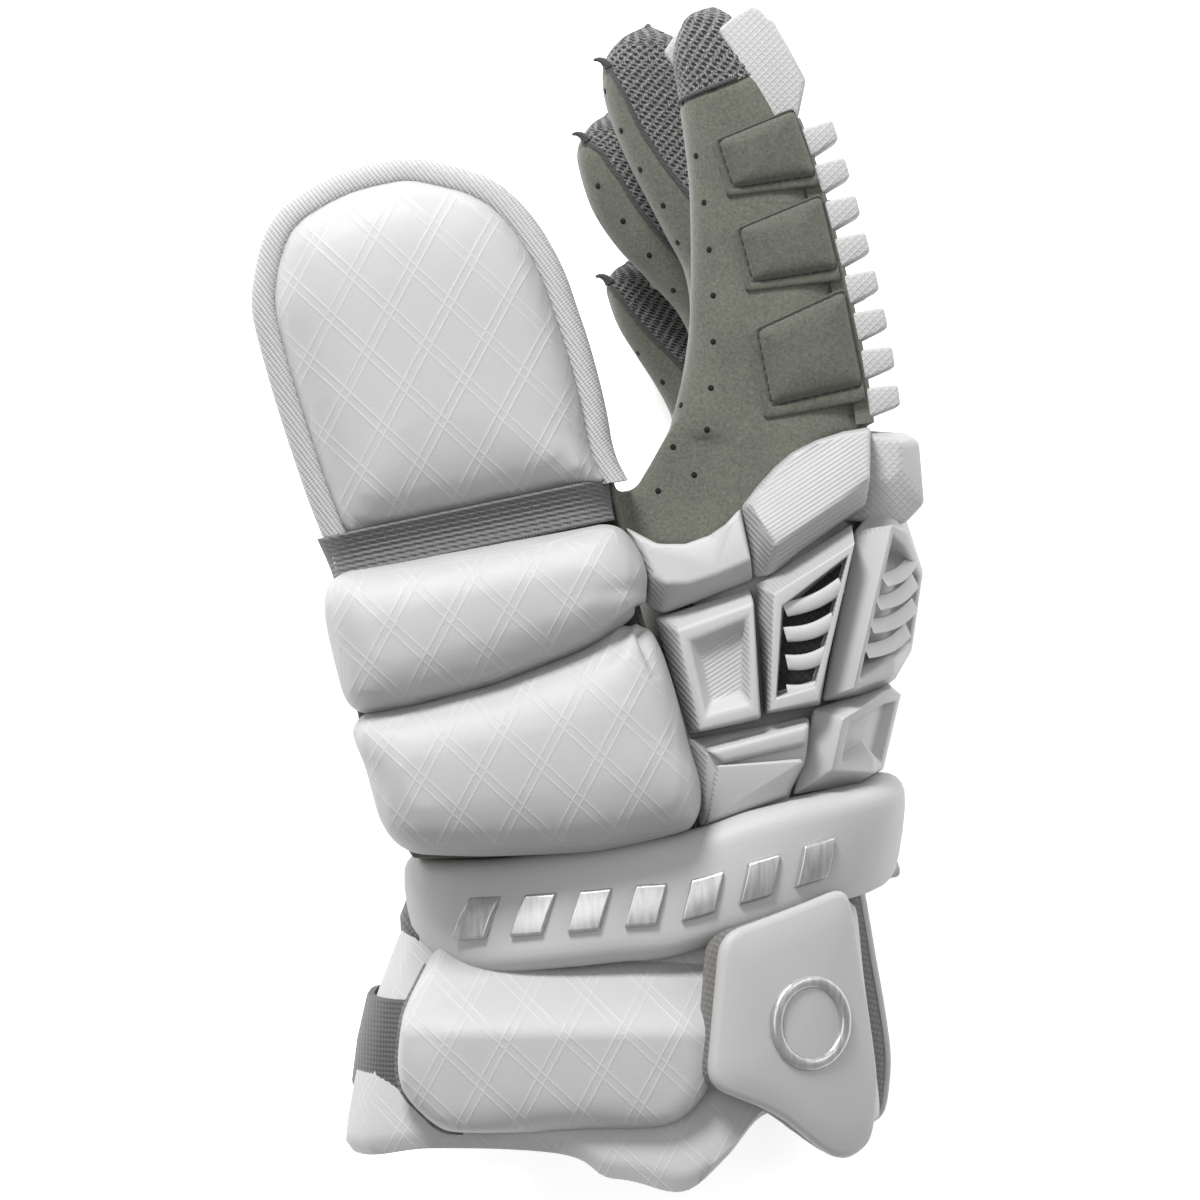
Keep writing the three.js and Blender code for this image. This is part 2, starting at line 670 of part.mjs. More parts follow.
const fingerTables = {
  index: [
    { along: 0.000, palm: 0.000, back: 1.000, wide: 1.00 },
    { along: 0.165, palm: 0.080, back: 0.950, wide: 1.00 },
    { along: 0.320, palm: 0.100, back: 0.880, wide: 1.00 },
    { along: 0.470, palm: 0.100, back: 0.800, wide: 1.00 },
    { along: 0.590, palm: 0.090, back: 0.730, wide: 1.00 },
    { along: 0.710, palm: 0.060, back: 0.645, wide: 1.00 },
    { along: 0.800, palm: 0.035, back: 0.540, wide: 0.98 },
    { along: 0.880, palm: 0.010, back: 0.435, wide: 0.93 },
    { along: 0.945, palm: 0.045, back: 0.355, wide: 0.80 },
    { along: 0.980, palm: 0.090, back: 0.300, wide: 0.58 },
    { along: 1.000, palm: 0.190, back: 0.230, wide: 0.15 },
  ],
  middle: [
    { along: 0.000, palm: 0.020, back: 1.000, wide: 1.00 },
    { along: 0.250, palm: 0.100, back: 0.880, wide: 1.00 },
    { along: 0.380, palm: 0.080, back: 0.820, wide: 1.00 },
    { along: 0.480, palm: -0.020, back: 0.730, wide: 1.00 },
    { along: 0.560, palm: -0.105, back: 0.630, wide: 1.00 },
    { along: 0.660, palm: -0.210, back: 0.480, wide: 1.00 },
    { along: 0.765, palm: -0.300, back: 0.345, wide: 0.98 },
    { along: 0.845, palm: -0.340, back: 0.245, wide: 0.93 },
    { along: 0.915, palm: -0.330, back: 0.145, wide: 0.80 },
    { along: 0.970, palm: -0.245, back: 0.035, wide: 0.58 },
    { along: 1.000, palm: -0.130, back: -0.090, wide: 0.15 },
  ],
  ring: [
    { along: 0.000, palm: 0.020, back: 1.000, wide: 1.00 },
    { along: 0.225, palm: 0.120, back: 0.900, wide: 1.00 },
    { along: 0.360, palm: 0.060, back: 0.800, wide: 1.00 },
    { along: 0.480, palm: -0.110, back: 0.645, wide: 1.00 },
    { along: 0.580, palm: -0.265, back: 0.490, wide: 1.00 },
    { along: 0.695, palm: -0.390, back: 0.330, wide: 1.00 },
    { along: 0.820, palm: -0.460, back: 0.135, wide: 0.97 },
    { along: 0.895, palm: -0.470, back: 0.010, wide: 0.90 },
    { along: 0.965, palm: -0.410, back: -0.145, wide: 0.68 },
    { along: 1.000, palm: -0.330, back: -0.290, wide: 0.15 },
  ],
  pinky: [
    { along: 0.000, palm: 0.030, back: 1.000, wide: 1.00 },
    { along: 0.120, palm: 0.010, back: 0.940, wide: 1.00 },
    { along: 0.290, palm: -0.070, back: 0.810, wide: 1.00 },
    { along: 0.455, palm: -0.165, back: 0.635, wide: 1.00 },
    { along: 0.620, palm: -0.255, back: 0.435, wide: 0.98 },
    { along: 0.785, palm: -0.310, back: 0.235, wide: 0.93 },
    { along: 0.885, palm: -0.320, back: 0.090, wide: 0.82 },
    { along: 0.960, palm: -0.280, back: -0.065, wide: 0.60 },
    { along: 1.000, palm: -0.225, back: -0.185, wide: 0.15 },
  ],
};
const fingers = [
  { name: 'index', length: indexLength, place: 1.5 },
  { name: 'middle', length: middleLength, place: 0.5 },
  { name: 'ring', length: ringLength, place: -0.5 },
  { name: 'pinky', length: pinkyLength, place: -1.5 },
];

function fingerRows({ name, length, place }) {
  const mid = handMid + place * fingerPitch;
  const rows = fingerTables[name].map((row) => ({
    y: knuckleY + clearance + row.along * length,
    left: palmX + row.palm * knuckleDepth,
    right: palmX + row.back * knuckleDepth,
    low: mid - (row.wide * fingerWidth) / 2,
    high: mid + (row.wide * fingerWidth) / 2,
  }));
  return rows;
}

// The finger's back edge as a path, with its length, point and outward direction at a distance.
function backPath(rows) {
  const points = rows.slice(0, -1).map((row) => new THREE.Vector3(row.right, row.y, 0));
  const path = new THREE.CatmullRomCurve3(points);
  const length = path.getLength();
  return {
    length,
    at: (s, out) => {
      const share = THREE.MathUtils.clamp(s / length, 0, 1);
      const along = path.getTangentAt(share);
      return path.getPointAt(share).add(new THREE.Vector3(along.y, -along.x, 0).multiplyScalar(out));
    },
  };
}

const flat = (point) => [point.x, point.y];

// A bar along the back edge, from one distance to another, standing proud of it.
function bar(path, from, to, { proud, bevel, slope = bevel, sink = barSink, mid, width }) {
  const outline = [
    path.at(from, -sink), path.at(from, proud - bevel), path.at(from + bevel, proud),
    path.at(to - slope, proud), path.at(to, proud - slope), path.at(to, -sink),
  ].map(flat);
  return prism(outline, mid - width / 2, mid + width / 2);
}

const knuckleOutline = [[0.86, 0.792], [1.17, 0.785], [1.27, 0.830], [1.245, 0.965], [0.86, 0.992]];
const kneeBody = radialKeepOut[1];
for (const finger of fingers) {
  const rows = fingerRows(finger);
  const mid = (rows[0].low + rows[0].high) / 2;
  const outer = tube(rows, 0, fingerSides);
  const grown = tube([{ ...rows[0], y: rows[0].y - past }, ...rows], clearance, fingerSides);
  const wall = outer.subtract(hollowOf(rows, wallThick, hollowSides, past));

  // Suede: the palm side and a strip of each flank. The index finger's covers its whole flank.
  const whole = finger.name === 'index';
  const top = whole ? indexCapShare : suedeEndShare;
  const seamRows = rows.filter((row) => row.y < knuckleY + top * finger.length);
  const seam = seamRows.map((row) => [whole ? row.right - backingThick : row.left + palmStrip, row.y]);
  const last = seamRows.at(-1);
  const region = [
    [last.left - reach, knuckleY - past], [seam[0][0], knuckleY - past], ...seam,
    [last.left - reach, last.y - (whole ? palmStrip : 0)],
  ];
  const side = [mid - fingerPitch, mid + fingerPitch];
  addNode(`${finger.name}_palm`, wall.intersect(prism(region, ...side)), suede);
  addNode(`${finger.name}_gusset`, wall.subtract(prism(grownOutline(region, clearance), ...side)), mesh);

  // Padding on the back: a strip with ribs, then the block over the tip.
  const path = backPath(rows);
  const tipFrom = path.length - tipBlockLength;
  const ribs = Math.floor((tipFrom - ribThick) / ribPitch);
  const steps = Math.ceil(tipFrom / (2 * ribPitch));
  const strip = [];
  for (let k = 0; k <= steps; k += 1) {
    strip.push(path.at(THREE.MathUtils.lerp(1, tipFrom - 1, k / steps), backingThick));
  }
  const under = [...strip].reverse().map((point) => point.clone().add(new THREE.Vector3(-barSink, 0, 0)));
  let backing = prism([...strip, ...under].map(flat), mid - ribWidth / 2, mid + ribWidth / 2);
  for (let k = 0; k < ribs; k += 1) {
    const from = ribStart + k * ribPitch;
    const ribShape = { proud: ribProud, bevel: ribBevel, sink: ribSink, mid, width: ribWidth };
    const rib = bar(path, from, from + ribThick, ribShape);
    backing = backing.add(rib);
  }
  const tipRoom = bar(path, tipFrom - clearance, path.length, {
    proud: tipBlockProud, bevel: clearance / 3, mid, width: ribWidth + 2 * clearance,
  });
  addNode(`${finger.name}_backing`, backing.subtract(grown).subtract(tipRoom), leather);
  const tip = bar(path, tipFrom, path.length - 1, {
    proud: tipBlockProud, bevel: tipBevel, slope: tipBlockSlope, mid, width: ribWidth,
  });
  addNode(`${finger.name}_tip_block`, tip.subtract(grown), leather);

  const knuckle = prism(knuckleOutline.map(onHand), mid - ribWidth / 2, mid + ribWidth / 2)
    .subtract(handGrown).subtract(kneeBody).subtract(mirrorZ(kneeBody, handMid));
  addNode(`${finger.name}_knuckle_block`, knuckle, leather);
}

// Raised grips on the index finger's thumb side, bottom corners first.
const grips = [
  [[0.465, 0.014], [0.960, 0.060], [0.825, 0.306], [0.385, 0.221]],
  [[0.372, 0.318], [0.815, 0.342], [0.705, 0.529], [0.292, 0.461]],
  [[0.278, 0.544], [0.710, 0.567], [0.595, 0.745], [0.190, 0.672]],
];
const indexRows = fingerRows(fingers[0]);
const indexMid = (indexRows[0].low + indexRows[0].high) / 2;
const indexGrown = tube(indexRows, clearance, fingerSides);
grips.forEach((corners, k) => {
  const outline = corners.map(([across, along]) => [
    palmX + across * knuckleDepth,
    knuckleY + along * indexLength,
  ]);
  const grip = prism(outline, indexMid + ribWidth / 2 + clearance, indexRows[0].high + gripThick);
  addNode(`index_grip_${k + 1}`, grip.subtract(indexGrown), suede);
});

const linerEdges = (turn) => [wristY - handTuck - linerLength, wristY - handTuck - clearance];
const linerRoom = armWall(0, fullTurn, armSides, linerEdges, plain(-past, past));
const linerWall = tube(armRows, 0, armSides).subtract(tube(armRows, -wallThick, armSides));
addNode('wrist_liner', linerWall.intersect(linerRoom), lining);

// Plain silver bars in a row round the band, at even steps across the wrist
const studLift = bandFoot + bandThick;
function turnAt(x) {
  const row = rowAt(armRows, wristY);
  const half = (row.right - row.left) / 2 + studLift;
  const share = (x - (row.left + row.right) / 2) / half;
  return THREE.MathUtils.radToDeg(Math.acos(Math.sign(share) * Math.abs(share) ** (1 / power)));
}
const studEdges = (turn) => [bandMiddle(turn) - studHigh / 2, bandMiddle(turn) + studHigh / 2];
for (let k = 0; k < studCount; k += 1) {
  const x = studMiddle + (k - (studCount - 1) / 2) * studPitch;
  const stud = armWall(
    turnAt(x + studWide / 2),
    turnAt(x - studWide / 2),
    2,
    studEdges,
    plain(studLift - studSink, studLift + studThick),
  );
  addNode(`band_stud_${k + 1}`, stud.subtract(bandGrown), silver);
}

// Cuff: a sleeve open along the palm side, its pads, and the strap across the opening

const hemTable = [
  { turn: 0, rise: 0.840 },
  { turn: 50, rise: 0.775 },
  { turn: 65, rise: 0.760 },
  { turn: 75, rise: 0.900 },
  { turn: 83, rise: 1.000 },
  { turn: 90, rise: 0.970 },
  { turn: 97, rise: 0.885 },
  { turn: 126, rise: 0.875 },
  { turn: 150, rise: 0.910 },
  { turn: 180, rise: 0.910 },
];
const sleeveEdges = (turn) => [wristY - cuffLength * riseAt(hemTable, turn), wristY - handTuck];
const sleeveSides = Math.round((4 * sleeveTurn * armSides) / fullTurn);
const sleeveRoom = armWall(-sleeveTurn, sleeveTurn, sleeveSides, sleeveEdges, plain(-past, past));
const sleeveInside = tube(armRows, clearance, armSides);
const sleeveWall = tube(armRows, clearance + sleeveThick, armSides).subtract(sleeveInside);
addNode('cuff_sleeve', sleeveWall.intersect(sleeveRoom), leather);

const strapEdges = () => [wristY - strapDrop - strapWidth, wristY - strapDrop];
const strapRoom = armWall(
  sleeveTurn + strapGap,
  fullTurn - sleeveTurn - strapGap,
  strapSides,
  strapEdges,
  plain(-past, past),
);
const strapWall = tube(armRows, clearance + strapThick, armSides).subtract(sleeveInside);
addNode('cuff_strap', strapWall.intersect(strapRoom), webbing);

const onCuff = ([across, along]) => [palmX + across * knuckleDepth, wristY - along * cuffLength];
const cuffMid = handMid + cuffMidRise;

const padOutlineCuff = [
  [-1.22, 0.20], [-1.31, 0.40], [-1.34, 0.60], [-1.315, 0.67], [-1.13, 0.795], [-0.90, 0.80],
  [-0.43, 0.785], [-0.02, 0.785], [0.11, 0.72], [0.19, 0.635], [0.225, 0.42], [0.215, 0.20],
];
const fitted = (solid) => solid.subtract(cuffGrown).subtract(bandGrown);
const cuffFace = { x: 0, z: cuffMid + cuffHalf, turn: 0 };
const cuffPanel = placed(blockBody(padOutlineCuff.map(onCuff), cuffSkirt, panelThick, panelBevel), cuffFace);
addNode('cuff_radial_panel', fitted(cuffPanel), leather);
addNode('cuff_ulnar_panel', fitted(mirrorZ(cuffPanel, cuffMid)).subtract(ground), leather);

// The flap over the back of the cuff, shaped as a shield
const flapOutline = [
  [-0.446, 0.140], [-0.524, 0.665], [-0.165, 0.750], [0.036, 0.846], [0.147, 0.893], [0.258, 0.913],
  [0.370, 0.887], [0.450, 0.846], [0.487, 0.665], [0.437, 0.485], [0.370, 0.302], [0.270, 0.000],
];
const flapFace = { x: palmX + flapAcross * knuckleDepth, z: cuffMid + cuffHalf + flapRise, turn: flapTurn };
const onFlap = ([across, along]) => [across * flapWidth, wristY - along * cuffLength];
const panelKeepOut = placed(
  blockBody(
    grownOutline(padOutlineCuff.map(onCuff), clearance),
    cuffSkirt,
    panelThick + keepOutHeight,
    keepOutBevel,
  ),
  cuffFace,
);
const flap = placed(blockBody(flapOutline.map(onFlap), flapSkirt, flapThick, panelBevel / 2), flapFace)
  .subtract(panelKeepOut);
addNode('cuff_dorsal_flap', fitted(flap), leather);
addNode('cuff_ulnar_flap', fitted(mirrorZ(flap, cuffMid)).subtract(ground), leather);

const ringShape = new THREE.Shape();
ringShape.absarc(0, 0, ringOuter, 0, 2 * Math.PI);
const ringHole = new THREE.Path();
ringHole.absarc(0, 0, ringInner, 0, 2 * Math.PI, true);
ringShape.holes.push(ringHole);
const ringExtrusion = { depth: ringThick, bevelEnabled: false, curveSegments: ringSides };
const ringGeometry = new THREE.ExtrudeGeometry(ringShape, ringExtrusion);
ringGeometry.translate(0, wristY - ringDrop * cuffLength, flapThick + clearance);
addNode('cuff_ring', placed(solidOf(ringGeometry), flapFace), silver);

// The origin lies under the middle of the glove, on what it rests on.
const box = new THREE.Box3().setFromObject(glove);
glove.position.set(-(box.min.x + box.max.x) / 2, -(box.min.y + box.max.y) / 2, -box.min.z);

export default glove;
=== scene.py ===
# %% [markdown]
# A padded right-hand lacrosse glove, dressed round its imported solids. The glove lies on its
# little-finger side, so the camera looks straight down on the thumb. This first cell loads the
# frame: every later piece is built in the same place and at the same size as those solids.

# %% Load the frame
import math

import bmesh
import bpy
import numpy as np
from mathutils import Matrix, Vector
from mathutils.bvhtree import BVHTree


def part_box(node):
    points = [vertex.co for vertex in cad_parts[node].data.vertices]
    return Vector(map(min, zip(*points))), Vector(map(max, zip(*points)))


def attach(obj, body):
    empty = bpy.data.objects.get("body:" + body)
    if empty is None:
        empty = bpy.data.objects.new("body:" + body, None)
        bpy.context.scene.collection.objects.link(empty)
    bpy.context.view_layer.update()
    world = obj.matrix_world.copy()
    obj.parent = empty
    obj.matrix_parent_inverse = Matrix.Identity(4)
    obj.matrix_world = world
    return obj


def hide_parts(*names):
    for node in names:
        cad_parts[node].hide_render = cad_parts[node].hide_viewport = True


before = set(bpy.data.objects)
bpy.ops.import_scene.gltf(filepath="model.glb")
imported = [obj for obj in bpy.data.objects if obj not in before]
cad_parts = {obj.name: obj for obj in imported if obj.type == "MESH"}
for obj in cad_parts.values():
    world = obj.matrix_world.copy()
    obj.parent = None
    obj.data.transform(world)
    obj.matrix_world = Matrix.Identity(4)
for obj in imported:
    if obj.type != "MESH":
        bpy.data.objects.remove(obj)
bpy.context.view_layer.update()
print("solids in the frame:", len(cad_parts))

# %% [markdown]
# Glove makers draw in millimetres from the middle of the pattern, and Blender works in metres from
# the frame's origin. The sizes below are the pattern's. Two corners of known solids give the step
# between the two origins, so nothing is fitted by eye.

# %% Pattern sizes and the step to the frame
MM = 0.001
HAND_LENGTH = 126.0
HAND_WIDTH = 98.0
KNUCKLE_DEPTH = 55.0
WALL = 2.4
GAP = 0.3
SECTION_POWER = 3.0
FINGER_PITCH = 24.5
FINGER_WIDTH = 23.5
FINGER_LENGTH = {"index": 115.5, "middle": 112.3, "ring": 89.3, "pinky": 48.5}
FINGER_PLACE = {"index": 1.5, "middle": 0.5, "ring": -0.5, "pinky": -1.5}
THUMB_LENGTH = 191.4
THUMB_WIDTH = 88.0
THUMB_DEEP = 26.0
BAND_WIDTH = 31.0
BAND_THICK = 12.0
CUFF_LENGTH = 82.0
BLOCK_HEIGHT = 12.0
WRIST_Y = -78.0
KNUCKLE_Y = WRIST_Y + HAND_LENGTH
PALM_X = 19.5
HAND_LOW = BLOCK_HEIGHT
HAND_HIGH = HAND_LOW + HAND_WIDTH
HAND_MID = (HAND_LOW + HAND_HIGH) / 2
RIM_Z = HAND_HIGH + 1.0
THUMB_BASE_Y = -71.0
THUMB_X = -50.0

lower_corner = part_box("lower_block_ulnar")[0]
finger_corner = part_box("ring_palm")[0]
shift = np.array([
    lower_corner.x / MM - (PALM_X + 0.09 * KNUCKLE_DEPTH),
    finger_corner.y / MM - (KNUCKLE_Y + GAP),
    0.0,
])
print("step from the pattern to the frame, mm:", shift.round(2))


def to_frame(points):
    return (np.asarray(points, float) + shift) * MM


# %% [markdown]
# The photograph looks straight down from about 1.8 m with a long lens. A camera that looks along -Z
# with no turn gives the same view. The lens follows from the width of the view and the distance.

# %% Camera
VIEW_WIDTH = 336.0
VIEW_DISTANCE = 1800.0
VIEW_PLANE_Z = 75.0
SENSOR = 36.0


def in_scene(name, data):
    """A new object in the scene that shows the given data."""
    made = bpy.data.objects.new(name, data)
    bpy.context.scene.collection.objects.link(made)
    return made


camera_data = bpy.data.cameras.new("camera")
camera_data.sensor_width = SENSOR
camera_data.lens = SENSOR * VIEW_DISTANCE / VIEW_WIDTH
camera = in_scene("camera", camera_data)
camera.location = to_frame([0.0, 0.0, VIEW_DISTANCE + VIEW_PLANE_Z])
bpy.context.scene.camera = camera
print("lens, mm:", round(camera_data.lens, 1))

# %% [markdown]
# The studio is plain: a light table under the glove, a pale world, a soft light from the finger end
# and two weaker ones, from above and from the right. The first light models the rolls of padding,
# because their upper sides turn towards it and their undersides turn away.

# %% Floor, lights and world
FLOOR_HALF = 4.0
FLOOR_GLOW = 0.6


def add_light(name, place, target, size, power):
    data = bpy.data.lights.new(name, "AREA")
    data.shape = "DISK"
    data.size = size
    data.energy = power
    light = in_scene(name, data)
    light.location = place
    aim = Vector(target) - Vector(place)
    light.rotation_euler = aim.to_track_quat("-Z", "Y").to_euler()


def plain_floor():
    bpy.ops.mesh.primitive_plane_add(size=2 * FLOOR_HALF, location=(0, 0, -0.0005))
    floor = bpy.context.object
    floor.name = "floor"
    paint = bpy.data.materials.new("floor_paint")
    paint.use_nodes = True
    shader = paint.node_tree.nodes["Principled BSDF"]
    shader.inputs["Base Color"].default_value = (0.97, 0.97, 0.97, 1)
    shader.inputs["Roughness"].default_value = 0.95
    shader.inputs["Emission Color"].default_value = (1, 1, 1, 1)
    shader.inputs["Emission Strength"].default_value = FLOOR_GLOW
    floor.data.materials.append(paint)


plain_floor()
add_light("key", (-0.45, 1.25, 1.0), (0, 0, 0.08), 0.5, 33)
add_light("front", (-0.35, 0.1, 1.7), (0, 0, 0.08), 1.1, 7)
add_light("back", (0.9, 0.5, 0.7), (0, 0, 0.08), 0.6, 3)
world = bpy.data.worlds.new("studio")
world.use_nodes = True
background = world.node_tree.nodes["Background"]
background.inputs["Color"].default_value = (1, 1, 1, 1)
background.inputs["Strength"].default_value = 0.36
bpy.context.scene.world = world
bpy.context.scene.view_settings.view_transform = "Standard"

# %% [markdown]
# Finishes come next. Each is a small node tree that reads Object coordinates, which are metres in
# the frame, so a grain or a weave keeps its real size on every piece. These helpers keep the trees
# short: one adds a node with its inputs joined, one does sums, and one adds a bump from a height.

# %% Helpers for materials


class Tree:
    """A material's node tree, with short ways to add nodes and join them."""

    def __init__(self, name):
        self.material = bpy.data.materials.new(name)
        self.material.use_nodes = True
        self.nodes = self.material.node_tree.nodes
        self.links = self.material.node_tree.links
        self.shader = self.nodes["Principled BSDF"]
        self.coords = self.nodes.new("ShaderNodeTexCoord")
        self.bumps = []

    def add(self, kind, inputs=None, **settings):
        node = self.nodes.new(kind)
        for key, value in settings.items():
            setattr(node, key, value)
        for key, value in (inputs or {}).items():
            if isinstance(value, bpy.types.NodeSocket):
                self.links.new(value, node.inputs[key])
            else:
                node.inputs[key].default_value = value
        return node

    def math(self, operation, a, b=0.0, c=0.0):
        node = self.nodes.new("ShaderNodeMath")
        node.operation = operation
        for k, value in enumerate((a, b, c)):
            if isinstance(value, bpy.types.NodeSocket):
                self.links.new(value, node.inputs[k])
            else:
                node.inputs[k].default_value = value
        return node.outputs[0]

    def times(self, a, b):
        return self.math("MULTIPLY", a, b)

    def turned(self, degrees=(0, 0, 0), scale=(1000, 1000, 1000), source="Object"):
        mapping = self.add("ShaderNodeMapping", {"Vector": self.coords.outputs[source]})
        mapping.inputs["Rotation"].default_value = [math.radians(d) for d in degrees]
        mapping.inputs["Scale"].default_value = scale
        return mapping.outputs[0]

    def noise(self, vector, scale, detail=2.0, rough=0.5):
        inputs = {"Vector": vector, "Scale": scale, "Detail": detail, "Roughness": rough}
        return self.add("ShaderNodeTexNoise", inputs).outputs["Fac"]

    def axis(self, vector, name):
        return self.add("ShaderNodeSeparateXYZ", {"Vector": vector}).outputs[name]

    def lines(self, coordinate, pitch, sharp=1.0):
        """A wave from 0 to 1 with one crest for each pitch, in the coordinate's unit."""
        wave = self.math("SINE", self.times(coordinate, 2 * math.pi / pitch))
        raised = self.math("MULTIPLY_ADD", wave, 0.5, 0.5)
        return self.math("POWER", raised, sharp)

    def ramp(self, factor, stops):
        node = self.add("ShaderNodeValToRGB", {"Fac": factor})
        elements = node.color_ramp.elements
        while len(elements) < len(stops):
            elements.new(0.5)
        for element, (place, colour) in zip(elements, stops):
            element.position = place
            element.color = (*colour, 1) if len(colour) == 3 else colour
        return node.outputs["Color"]

    def bump(self, height, distance):
        inputs = {"Height": height, "Distance": distance}
        if self.bumps:
            inputs["Normal"] = self.bumps[-1].outputs["Normal"]
        self.bumps.append(self.add("ShaderNodeBump", inputs))
        self.links.new(self.bumps[-1].outputs["Normal"], self.shader.inputs["Normal"])

    def colour(self, socket):
        self.links.new(socket, self.shader.inputs["Base Color"])

    def rough(self, value):
        if isinstance(value, bpy.types.NodeSocket):
            self.links.new(value, self.shader.inputs["Roughness"])
        else:
            self.shader.inputs["Roughness"].default_value = value

    def sheen(self, weight, rough=0.5):
        self.shader.inputs["Sheen Weight"].default_value = weight
        self.shader.inputs["Sheen Roughness"].default_value = rough


def grey(value, warm=0.0):
    return (value * (1 + warm), value, value * (1 - warm))


# %% [markdown]
# The white cover is a smooth coated leather. It has a fine pebble that shows only in glancing light,
# a little uneven gloss, and faint grime in its broad colour. A painted flat white would look like
# plaster, so colour and roughness both wander slightly.

# %% White leather
LEATHER_GRAIN = 0.00006


def white_leather(name, tone=0.41):
    tree = Tree(name)
    place = tree.turned()
    broad = tree.noise(place, 0.02, 3.0)
    tree.colour(tree.ramp(broad, [(0.3, grey(tone * 0.97, 0.004)), (0.7, grey(tone, -0.004))]))
    fine = tree.noise(place, 1.3, 3.0, 0.6)
    tree.rough(tree.math("MULTIPLY_ADD", tree.noise(place, 0.08), 0.14, 0.48))
    tree.bump(fine, LEATHER_GRAIN)
    return tree


leather = white_leather("white_leather").material
print("finish:", leather.name)

# %% [markdown]
# The padding blocks are covered in a thinner leather moulded with fine parallel ridges. The ridges
# run across the tops and slantwise down the walls, so one tree is built twice with the ridges
# turned. The finger ribs carry a fine diamond hatch instead, and the channels between the blocks
# a plain grey, darkened as painted shade.

# %% Ridged and hatched leather
RIDGE_PITCH = 1.1
HATCH_PITCH = 1.5


def ridged_leather(name, turn, tone=0.4):
    tree = white_leather(name, tone)
    along = tree.axis(tree.turned((0, 0, turn)), "Y")
    tree.bump(tree.lines(along, RIDGE_PITCH, 1.3), 0.0001)
    return tree.material


def hatched_leather():
    """The hatch is only on the faces towards the thumb and the little finger."""
    tree = white_leather("hatched_leather", 0.42)
    place = tree.turned((0, 0, 45))
    both = tree.math("MAXIMUM", tree.lines(tree.axis(place, "X"), HATCH_PITCH, 5.0),
                     tree.lines(tree.axis(place, "Y"), HATCH_PITCH, 5.0))
    facing = tree.axis(tree.add("ShaderNodeNewGeometry").outputs["True Normal"], "Z")
    side = tree.math("GREATER_THAN", tree.math("ABSOLUTE", facing), 0.8)
    tree.bump(tree.times(both, side), 0.0001)
    return tree.material


ridged = ridged_leather("ridged_leather", -33)
side_ridged = ridged_leather("side_ridged_leather", 48, 0.37)
hatched = hatched_leather()
# The back of the hand's plain grey, darkened as painted shade for the channels between the blocks.
channel_leather = white_leather("channel_leather", 0.2).material
print("finishes:", ridged.name, side_ridged.name, hatched.name, channel_leather.name)

# %% [markdown]
# The palm is a grey-green microfibre suede. Its nap lies in small patches, lighter where it is
# brushed up, and a sheen gives it the soft rim of light that cloth has and leather hasn't.

# %% Suede
SUEDE = (0.112, 0.116, 0.094)


def suede_finish(name, shade=1.0):
    tree = Tree(name)
    place = tree.turned()
    nap = tree.noise(place, 1.1, 5.0, 0.75)
    broad = tree.noise(place, 0.05, 2.0)
    mixed = tree.math("MULTIPLY_ADD", broad, 0.2, tree.times(nap, 0.8))
    dark = tuple(c * 0.62 * shade for c in SUEDE)
    light = tuple(c * 1.34 * shade for c in SUEDE)
    tree.colour(tree.ramp(mixed, [(0.34, dark), (0.66, light)]))
    tree.rough(0.95)
    tree.sheen(0.25, 0.45)
    tree.bump(tree.noise(place, 3.0, 3.0, 0.7), 0.00014)
    tree.bump(nap, 0.00012)
    return tree.material


suede = suede_finish("suede")
grip_suede = suede_finish("grip_suede", 0.82)
print("finishes:", suede.name, grip_suede.name)

# %% [markdown]
# The finger gussets are an open knit of mixed dark and pale threads. The holes are real dents in
# the mesh, made where the gusset is built. The colour repeats the same staggered rule on the
# gusset's own UV map, in millimetres, so a painted shade, near black, always falls in the holes.

# %% Knit, tape and lining
KNIT_ACROSS = 3.0
KNIT_ALONG = 2.3


def knit_finish():
    tree = Tree("knit_mesh")
    place = tree.turned(source="UV", scale=(1, 1, 1))
    x = tree.times(tree.axis(place, "X"), math.pi / KNIT_ACROSS)
    y = tree.times(tree.axis(place, "Y"), math.pi / KNIT_ALONG)
    rising = tree.math("SINE", tree.math("ADD", x, y))
    falling = tree.math("SINE", tree.math("SUBTRACT", x, y))
    hole = tree.math("ABSOLUTE", tree.times(rising, falling))
    thread = tree.noise(tree.turned(source="UV", scale=(3.2, 1.3, 1)), 1.0, 2.0, 0.7)
    pale = tree.ramp(thread, [(0.42, grey(0.05)), (0.52, grey(0.14)), (0.62, grey(0.36))])
    # Painted shade: the holes of the knit are darkened to near black.
    shade = tree.ramp(hole, [(0.32, (1, 1, 1)), (0.68, grey(0.06))])
    mixed = tree.add("ShaderNodeMix", {"Factor": 1.0}, data_type="RGBA", blend_type="MULTIPLY")
    tree.links.new(pale, mixed.inputs[6])
    tree.links.new(shade, mixed.inputs[7])
    tree.colour(mixed.outputs[2])
    tree.rough(0.85)
    tree.sheen(0.15)
    tree.bump(thread, 0.0003)
    return tree.material


def woven_finish(name, tone, pitch, turn, depth=0.0002, warm=0.0):
    """A plain woven tape: ridges one way, crossed by finer ones."""
    tree = Tree(name)
    place = tree.turned((0, 0, turn))
    ridge = tree.lines(tree.axis(place, "Y"), pitch, 0.8)
    cross = tree.lines(tree.axis(place, "X"), pitch * 0.7, 0.6)
    weave = tree.math("MULTIPLY_ADD", cross, 0.35, tree.times(ridge, 0.65))
    fuzz = tree.noise(place, 0.9, 3.0)
    mixed = tree.math("MULTIPLY_ADD", fuzz, 0.35, tree.times(weave, 0.65))
    tree.colour(tree.ramp(mixed, [(0.2, grey(tone * 0.7, warm)), (0.75, grey(tone * 1.15, warm))]))
    tree.rough(0.8)
    tree.sheen(0.15)
    tree.bump(weave, depth)
    return tree.material


